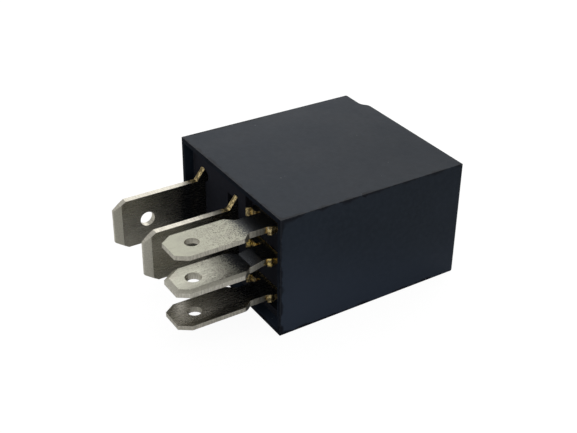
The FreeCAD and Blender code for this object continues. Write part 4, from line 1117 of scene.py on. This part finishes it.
@dataclass
class Magnet(CarriedPieces):
    """Yoke, core, bobbin, winding and armature."""

    wire_pitch: float = 0.17 * MM
    samples_per_turn: int = 5
    samples_round: int = 72
    ridge_height: float = 0.05 * MM
    bore_share: float = 0.82
    iron: StampedSheet = StampedSheet(
        name="plated_iron", tone=(0.60, 0.59, 0.56), second_tone=(0.47, 0.46, 0.44), roughness=0.33,
        metallic=1.0, cut_tone=(0.36, 0.35, 0.34), spot_share=0.1, tarnish_share=0.12)
    turned_iron: SolidMetal = SolidMetal(
        name="core_iron", tone=(0.58, 0.57, 0.55), second_tone=(0.44, 0.43, 0.42), roughness=0.3,
        metallic=1.0)
    spool: MouldedPlastic = MouldedPlastic(
        name="bobbin_plastic", tone=(0.34, 0.30, 0.22), second_tone=(0.38, 0.335, 0.245), roughness=0.42,
        cloud_tone=(0.41, 0.365, 0.27), dust_tone=(0.24, 0.21, 0.16), chip_tone=(0.5, 0.45, 0.35),
        worn_tone=(0.55, 0.50, 0.40), scuff_tone=(0.44, 0.40, 0.31), rim_share=0.0)
    enamel: SolidMetal = SolidMetal(
        name="enamelled_copper", tone=(0.62, 0.20, 0.07), second_tone=(0.45, 0.13, 0.05), roughness=0.22,
        metallic=1.0, line_width=0.2 * MM)

    def build(self, effects: Effects) -> None:
        """Dress the iron and the bobbin, and wind the coil.

        Args:
            effects: The shared node groups.
        """
        iron = self.iron.material(effects, PlateAxis.X, PlateAxis.Y)
        self.dress("yoke", iron)
        self.dress("armature", iron)
        self.dress("core", self.turned_iron.material(effects, PlateAxis.Y))
        self.dress("bobbin", self.spool.material(effects, *middle_and_half("bobbin")))
        enamel = self.enamel.material(effects, PlateAxis.Y)
        self.dress("coil_lead_wires", enamel)
        self.wind_coil(enamel)

    def wind_coil(self, enamel: bpy.types.Material) -> None:
        """Wound coil as one closed surface.

        The outer wall's radius is the coil's radius less a ridge height times one minus the absolute
        sine of half a turn's phase, and the phase grows with the length along the axis and drops
        with the angle, so that the ridges climb as a helix. The end walls run in to the bore.

        Args:
            enamel: The wire's finish.
        """
        low, high = (np.array(corner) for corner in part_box("coil_winding"))
        centre = (low + high) / 2
        radius = (high[0] - low[0]) / 2
        core_low, core_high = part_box("core")
        bore = (core_high[0] - core_low[0]) / 2 * self.bore_share
        turns = int((high[1] - low[1]) / self.wire_pitch)
        along = np.linspace(0.0, 1.0, turns * self.samples_per_turn + 1)
        angle = np.linspace(0.0, 2.0 * math.pi, self.samples_round, endpoint=False)
        phase = along[:, None] * turns - angle[None, :] / (2.0 * math.pi)
        ease = np.minimum(1.0, np.minimum(along, 1.0 - along)[:, None] * turns)
        wall = radius - self.ridge_height * ease * (1.0 - np.abs(np.sin(math.pi * phase)))
        rows_radius = np.vstack([np.full((1, angle.size), bore), wall, np.full((1, angle.size), bore)])
        rows_y = np.concatenate([[0.0], along, [1.0]]) * (high[1] - low[1]) + low[1]
        grid = np.stack(
            [
                centre[0] + rows_radius * np.cos(angle)[None, :],
                np.repeat(rows_y[:, None], angle.size, axis=1),
                centre[2] + rows_radius * np.sin(angle)[None, :],
            ],
            axis=-1,
        )
        piece = ring_from_grid("coil_winding_wound", grid)
        piece.data.materials.append(enamel)
        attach(piece, Body.HOUSING.value)
        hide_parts("coil_winding")
        LOG.info("wound %s with %d turns", piece.name, turns)


def ring_from_grid(name: str, grid: np.ndarray) -> bpy.types.Object:
    """Ring-shaped body from rings of points, where the last ring joins the first.

    Each point joins the next in its ring and the same point of the next ring.

    Args:
        name: The piece's name.
        grid: Points as rings x points x 3.

    Returns:
        The new object, in the scene.
    """
    rings, count = grid.shape[:2]
    ring = np.arange(rings)[:, None]
    step = np.arange(count)[None, :]
    after_ring = (ring + 1) % rings
    after_step = (step + 1) % count
    quads = np.stack(
        [
            ring * count + step,
            ring * count + after_step,
            after_ring * count + after_step,
            after_ring * count + step,
        ],
        axis=-1,
    ).reshape(-1, 4)
    return closed_piece(name, grid.reshape(-1, 3), quads, smooth=True)


def closed_piece(name: str, points: np.ndarray, quads: np.ndarray, smooth: bool) -> bpy.types.Object:
    """Object from the quads of a closed surface, with its faces turned outwards.

    Args:
        name: The piece's name.
        points: Points x 3.
        quads: Quads x 4 point numbers, all turned the same way.
        smooth: Whether the faces are shaded as one round surface.

    Returns:
        The new object, in the scene.
    """
    if signed_volume(points, quads) < 0:
        quads = quads[:, ::-1]
    mesh = bpy.data.meshes.new(name)
    mesh.from_pydata(points.tolist(), [], quads.tolist())
    mesh.polygons.foreach_set("use_smooth", np.full(len(quads), smooth))
    mesh.update()
    made = bpy.data.objects.new(name, mesh)
    bpy.context.scene.collection.objects.link(made)
    return made


def signed_volume(points: np.ndarray, quads: np.ndarray) -> float:
    """Volume inside a quad surface: a sixth of the sum of each triangle's triple product.

    Args:
        points: Points x 3.
        quads: Quads x 4 point numbers.

    Returns:
        The volume, below zero where the faces point inwards.
    """
    a, b, c, d = (points[quads[:, k]] for k in range(4))
    first = np.einsum("ij,ij->i", a, np.cross(b, c))
    second = np.einsum("ij,ij->i", a, np.cross(c, d))
    return float((first + second).sum() / 6.0)


@dataclass
class Contacts(CarriedPieces):
    """The leaf spring, the rivets and the three contacts."""

    bronze: StampedSheet = StampedSheet(
        name="spring_bronze", tone=(0.66, 0.40, 0.20), second_tone=(0.55, 0.33, 0.17), roughness=0.26,
        metallic=1.0, cut_tone=(0.45, 0.26, 0.13), spot_share=0.08, tarnish_share=0.12)
    brass: SolidMetal = SolidMetal(
        name="rivet_brass", tone=(0.70, 0.52, 0.24), second_tone=(0.58, 0.41, 0.17), roughness=0.25,
        metallic=1.0)
    silver: SolidMetal = SolidMetal(
        name="contact_silver", tone=(0.86, 0.85, 0.82), second_tone=(0.72, 0.70, 0.66), roughness=0.18,
        metallic=1.0)

    def build(self, effects: Effects) -> None:
        """Dress the rivets and contacts and put the bent spring in place.

        Args:
            effects: The shared node groups.
        """
        self.dress("yoke_rivets", self.brass.material(effects, PlateAxis.X))
        silver = self.silver.material(effects, PlateAxis.Y)
        for name in ("moving_contact", "make_contact", "break_contact"):
            self.dress(name, silver)
        self.bend_spring(self.bronze.material(effects, PlateAxis.Y, PlateAxis.X))

    def bend_spring(self, bronze: bpy.types.Material) -> None:
        """Put the leaf spring in place.

        Args:
            bronze: The spring's finish.
        """
        low, high = (np.array(corner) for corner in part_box("contact_spring"))
        contact_low, contact_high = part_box("moving_contact")
        rivet_low, rivet_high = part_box("yoke_rivets")
        leaf = LeafSpring(
            low=low, high=high, contact_x=(contact_low.x + contact_high.x) / 2,
            rivet_y=(rivet_low.y + rivet_high.y) / 2)
        piece = leaf.build("contact_spring_leaf")
        piece.data.materials.append(bronze)
        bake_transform(piece)
        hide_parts("contact_spring")
        LOG.info("made %s with %d faces", piece.name, len(piece.data.polygons))


@dataclass
class LeafSpring:
    """Sheet spring: a tail up the yoke, a round bend and an arm to the moving contact.

    The middle line is given by its length u from the tail's end. It runs up along Y, turns on an arc
    of radius r by a right angle less the rest angle a, and goes on in the direction (cos a, sin a).
    A point of the sheet is the middle line's point at u plus w(u) t along Z, with t from -1 to 1 and
    w the half width, and half the thickness along the middle line's normal to each side. The holes
    are square and lie under the heads of the rivets and studs that fill them.
    """

    low: np.ndarray
    high: np.ndarray
    contact_x: float
    rivet_y: float
    thickness: float = 0.2 * MM
    bend_radius: float = 0.9 * MM
    rest_angle: float = math.radians(2.044)
    tip_share: float = 0.5
    taper_x: float = -0.86 * MM
    stud_x: float = -3.76 * MM
    window_low_y: float = 10.98 * MM
    window_end_x: float = -7.12 * MM
    window_half: float = 1.5 * MM
    hole_spacing: float = 4.0 * MM
    rivet_hole_half: float = 0.61 * MM
    stud_hole_half: float = 0.66 * MM
    contact_hole_half: float = 0.56 * MM
    bend_steps: int = 14

    def __post_init__(self) -> None:
        """Work out the middle line's corner points and lengths."""
        sine, cosine = math.sin(self.rest_angle), math.cos(self.rest_angle)
        half = self.thickness / 2
        self.tail_x = self.low[0] + half
        self.mid_z = (self.low[2] + self.high[2]) / 2
        self.half_width = (self.high[2] - self.low[2]) / 2
        free_end = np.array([self.high[0] - half * sine, self.high[1] - half * cosine])
        corner_y = free_end[1] - (free_end[0] - self.tail_x) * math.tan(self.rest_angle)
        self.turn = math.pi / 2 - self.rest_angle
        setback = self.bend_radius * math.tan(self.turn / 2)
        self.tail_length = corner_y - setback - self.low[1]
        self.bend_end = self.tail_length + self.bend_radius * self.turn
        self.arm_start = np.array([self.tail_x + setback * cosine, corner_y + setback * sine])
        self.length = self.bend_end + (free_end[0] - self.arm_start[0]) / cosine

    def middle_line(self, u: np.ndarray) -> tuple[np.ndarray, np.ndarray]:
        """Points and normals of the middle line.

        Args:
            u: Lengths from the tail's end.

        Returns:
            Points and unit normals, each as count x 2 in X and Y.
        """
        angle = np.clip((u - self.tail_length) / self.bend_radius, 0.0, self.turn)
        centre = np.array([self.tail_x + self.bend_radius, self.low[1] + self.tail_length])
        normal = np.stack([-np.cos(angle), np.sin(angle)], axis=-1)
        bend = centre + self.bend_radius * normal
        along = np.array([math.cos(self.rest_angle), math.sin(self.rest_angle)])
        before = np.minimum(u - self.tail_length, 0.0)[:, None] * np.array([0.0, 1.0])
        after = np.maximum(u - self.bend_end, 0.0)[:, None] * along
        return bend + before + after, normal

    def arm_length_at(self, x: float) -> float:
        """Length u at which the arm's middle line passes a place along X.

        Args:
            x: The place.

        Returns:
            The length.
        """
        return self.bend_end + (x - self.arm_start[0]) / math.cos(self.rest_angle)

    def openings(self) -> list[tuple[float, float, float, float]]:
        """The window and the holes, each as low and high u and low and high distance across.

        Returns:
            The openings, with distances across as in the spring's wide part.
        """
        rivet = self.rivet_y - self.low[1]
        stud = self.arm_length_at(self.stud_x)
        contact = self.arm_length_at(self.contact_x)
        window = (self.window_low_y - self.low[1], self.arm_length_at(self.window_end_x))
        found = [(*window, -self.window_half, self.window_half)]
        for way in (-1.0, 1.0):
            place = way * self.hole_spacing / 2
            for middle, half in ((rivet, self.rivet_hole_half), (stud, self.stud_hole_half)):
                found.append((middle - half, middle + half, place - half, place + half))
        half = self.contact_hole_half
        found.append((contact - half, contact + half, -half / self.tip_share, half / self.tip_share))
        return found

    def build(self, name: str) -> bpy.types.Object:
        """Make the closed sheet.

        Args:
            name: The piece's name.

        Returns:
            The new object, in the scene.
        """
        openings = np.array(self.openings())
        taper = (self.arm_length_at(self.taper_x), self.arm_length_at(self.contact_x))
        bend = np.linspace(self.tail_length, self.bend_end, self.bend_steps)
        u = np.unique(np.concatenate([openings[:, :2].ravel(), bend, taper, [0.0, self.length]]).round(9))
        across = np.unique(np.append(openings[:, 2:].ravel(), [-self.half_width, self.half_width]).round(9))
        points, normals = self.middle_line(u)
        share = np.interp(u, taper, (1.0, self.tip_share))
        sheets = []
        for way in (0.5, -0.5):
            flat = points + way * self.thickness * normals
            sheet = np.empty((u.size, across.size, 3))
            sheet[..., :2] = flat[:, None, :]
            sheet[..., 2] = self.mid_z + share[:, None] * across[None, :]
            sheets.append(sheet)
        mid_u = (u[1:] + u[:-1])[:, None] / 2
        mid_across = (across[1:] + across[:-1])[None, :] / 2
        keep = np.ones((u.size - 1, across.size - 1), dtype=bool)
        for u_low, u_high, low, high in openings:
            inside = (mid_u > u_low) & (mid_u < u_high) & (mid_across > low) & (mid_across < high)
            keep &= ~inside
        return sheet_from_grids(name, sheets[0], sheets[1], keep)


def sheet_from_grids(name: str, top: np.ndarray, bottom: np.ndarray, keep: np.ndarray) -> bpy.types.Object:
    """Closed sheet between two grids of points, with walls along its borders and openings.

    Each kept cell gives a quad on both sides, and a wall on each of its four sides that no kept
    cell adjoins.

    Args:
        name: The piece's name.
        top: Points of one side as rows x columns x 3.
        bottom: Points of the other side.
        keep: Which cells are sheet, as rows - 1 x columns - 1.

    Returns:
        The new object, in the scene.
    """
    columns = top.shape[1]
    count = top.shape[0] * columns
    row, column = np.nonzero(keep)
    a = row * columns + column
    b, c, d = a + 1, a + columns + 1, a + columns
    quads = [np.stack([a, b, c, d], axis=-1), np.stack([d, c, b, a], axis=-1) + count]
    padded = np.pad(keep, 1)
    sides = ((-1, 0, a, b), (0, 1, b, c), (1, 0, c, d), (0, -1, d, a))
    for row_step, column_step, first, second in sides:
        is_border = ~padded[row + 1 + row_step, column + 1 + column_step]
        start, end = first[is_border], second[is_border]
        quads.append(np.stack([end, start, start + count, end + count], axis=-1))
    used, numbers = np.unique(np.concatenate(quads), return_inverse=True)
    points = np.concatenate([top.reshape(-1, 3), bottom.reshape(-1, 3)])[used]
    return closed_piece(name, points, numbers.reshape(-1, 4), smooth=False)


@dataclass
class CoilSuppression(CarriedPieces):
    """The resistor, its leads and the solder."""

    enamel: MouldedPlastic = MouldedPlastic(
        name="resistor_enamel", tone=(0.42, 0.33, 0.20), second_tone=(0.46, 0.365, 0.225), roughness=0.3,
        cloud_tone=(0.49, 0.39, 0.25), dust_tone=(0.30, 0.24, 0.15), chip_tone=(0.55, 0.45, 0.30),
        worn_tone=(0.6, 0.5, 0.36), scuff_tone=(0.5, 0.4, 0.27), rim_share=0.0)
    wire: SolidMetal = SolidMetal(
        name="tinned_wire", tone=(0.70, 0.69, 0.66), second_tone=(0.55, 0.54, 0.52), roughness=0.28,
        metallic=1.0)
    solder: SolidMetal = SolidMetal(
        name="solder", tone=(0.66, 0.66, 0.66), second_tone=(0.50, 0.50, 0.51), roughness=0.22, metallic=1.0,
        line_depth=0.004 * MM)

    def build(self, effects: Effects) -> None:
        """Dress the three nodes.

        Args:
            effects: The shared node groups.
        """
        self.dress("resistor_body", self.enamel.material(effects, *middle_and_half("resistor_body")))
        self.dress("resistor_leads", self.wire.material(effects, PlateAxis.Z))
        self.dress("solder_joints", self.solder.material(effects, PlateAxis.Z))


@dataclass
class Studio:
    """Pale floor, even sky, soft lamps and the camera at the photograph's place."""

    floor_size: float = 0.8
    floor_tone: Colour = (0.80, 0.80, 0.80)
    floor_glow: float = 0.94
    floor_share: float = 0.15
    sky_strength: float = 0.48
    seen_sky_strength: float = 1.0
    camera_place: Place = (93.336 * MM, -58.381 * MM, 74.078 * MM)
    camera_target: Place = (0.437 * MM, 0.804 * MM, 7.65 * MM)
    camera_roll_deg: float = 0.738
    lens_mm: float = 66.40
    sensor_mm: float = 36.0
    nearest: float = 0.001
    key_place: Place = (-0.38, 0.40, 0.40)
    key_size: float = 0.70
    key_watts: float = 1.75
    fill_place: Place = (0.05, -0.45, 0.35)
    fill_size: float = 0.35
    fill_watts: float = 0.06

    def build(self) -> None:
        """Make the floor, the sky, the lamps and the camera."""
        self.lay_floor()
        self.light_sky()
        self.hang_lamp("key", self.key_place, self.key_size, self.key_watts)
        self.hang_lamp("fill", self.fill_place, self.fill_size, self.fill_watts)
        self.set_camera()

    def seen_directly(self, graph: Graph) -> bpy.types.NodeSocket:
        """Mask of the rays that come from the camera, straight or through a clear surface.

        Args:
            graph: The floor's or the sky's graph.

        Returns:
            The mask's socket.
        """
        path = graph.node("LightPath")
        return graph.math("MAXIMUM", path.outputs["Is Camera Ray"], path.outputs["Is Transmission Ray"])

    def lay_floor(self) -> None:
        """Flat pale floor that reads as white and keeps a soft shadow."""
        half = self.floor_size / 2
        mesh = bpy.data.meshes.new("floor")
        corners = [(-half, -half, 0.0), (half, -half, 0.0), (half, half, 0.0), (-half, half, 0.0)]
        mesh.from_pydata(corners, [], [(0, 1, 2, 3)])
        floor = bpy.data.objects.new("floor", mesh)
        bpy.context.scene.collection.objects.link(floor)
        material = bpy.data.materials.new("pale_floor")
        material.use_nodes = True
        material.node_tree.nodes.clear()
        graph = Graph(material.node_tree)
        plain = graph.node("BsdfDiffuse")
        graph.feed(plain.inputs["Color"], self.floor_tone)
        shaded = graph.node("BsdfDiffuse")
        graph.feed(shaded.inputs["Color"], (self.floor_share,) * 3)
        glow = graph.node("Emission")
        graph.feed(glow.inputs["Strength"], self.floor_glow)
        lit = graph.node("AddShader")
        graph.tree.links.new(shaded.outputs[0], lit.inputs[0])
        graph.tree.links.new(glow.outputs[0], lit.inputs[1])
        mixed = graph.node("MixShader")
        graph.feed(mixed.inputs[0], self.seen_directly(graph))
        graph.tree.links.new(plain.outputs[0], mixed.inputs[1])
        graph.tree.links.new(lit.outputs[0], mixed.inputs[2])
        output = graph.node("OutputMaterial")
        graph.tree.links.new(mixed.outputs[0], output.inputs["Surface"])
        mesh.materials.append(material)

    def light_sky(self) -> None:
        """Even sky: white where it is seen, and dimmer as a light."""
        world = bpy.data.worlds.new("even_sky")
        world.use_nodes = True
        world.node_tree.nodes.clear()
        graph = Graph(world.node_tree)
        sky = graph.node("Background")
        graph.feed(sky.inputs["Strength"],
                   graph.blend(self.seen_directly(graph), self.sky_strength, self.seen_sky_strength))
        graph.feed(sky.inputs["Color"], (1.0, 1.0, 1.0))
        output = graph.node("OutputWorld")
        graph.tree.links.new(sky.outputs[0], output.inputs["Surface"])
        bpy.context.scene.world = world

    def hang_lamp(self, name: str, place: Place, size: float, watts: float) -> None:
        """Square soft lamp that faces the relay.

        Args:
            name: The lamp's name.
            place: Where it hangs.
            size: Length of its side.
            watts: Its power.
        """
        data = bpy.data.lights.new(name, "AREA")
        data.size = size
        data.energy = watts
        lamp = bpy.data.objects.new(name, data)
        bpy.context.scene.collection.objects.link(lamp)
        lamp.location = place
        lamp.rotation_euler = (-Vector(place)).to_track_quat("-Z", "Y").to_euler()

    def set_camera(self) -> None:
        """Camera that looks from the photograph's place, turned about its view by a small roll."""
        data = bpy.data.cameras.new("camera")
        data.sensor_width = self.sensor_mm
        data.lens = self.lens_mm
        data.clip_start = self.nearest
        camera = bpy.data.objects.new("camera", data)
        bpy.context.scene.collection.objects.link(camera)
        place = Vector(self.camera_place)
        ahead = (Vector(self.camera_target) - place).normalized()
        level = ahead.cross(Vector((0.0, 0.0, 1.0))).normalized()
        upright = level.cross(ahead)
        roll = math.radians(self.camera_roll_deg)
        right = level * math.cos(roll) + upright * math.sin(roll)
        above = right.cross(ahead)
        turn = Matrix((right, above, -ahead)).transposed()
        camera.matrix_world = Matrix.Translation(place) @ turn.to_4x4()
        bpy.context.scene.camera = camera


def main() -> None:
    """Load the frame, dress every piece and set the studio."""
    logging.basicConfig(level=logging.INFO, format="%(name)s: %(message)s")
    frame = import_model()
    effects = Effects.build()
    for part in (Housing, Terminals, Magnet, Contacts, CoilSuppression):
        part(frame["nodes"]).build(effects)
        LOG.info("finished %s", part.__name__)
    Studio().build()
    bpy.context.scene.view_settings.view_transform = "Standard"


if __name__ == "__main__":
    main()
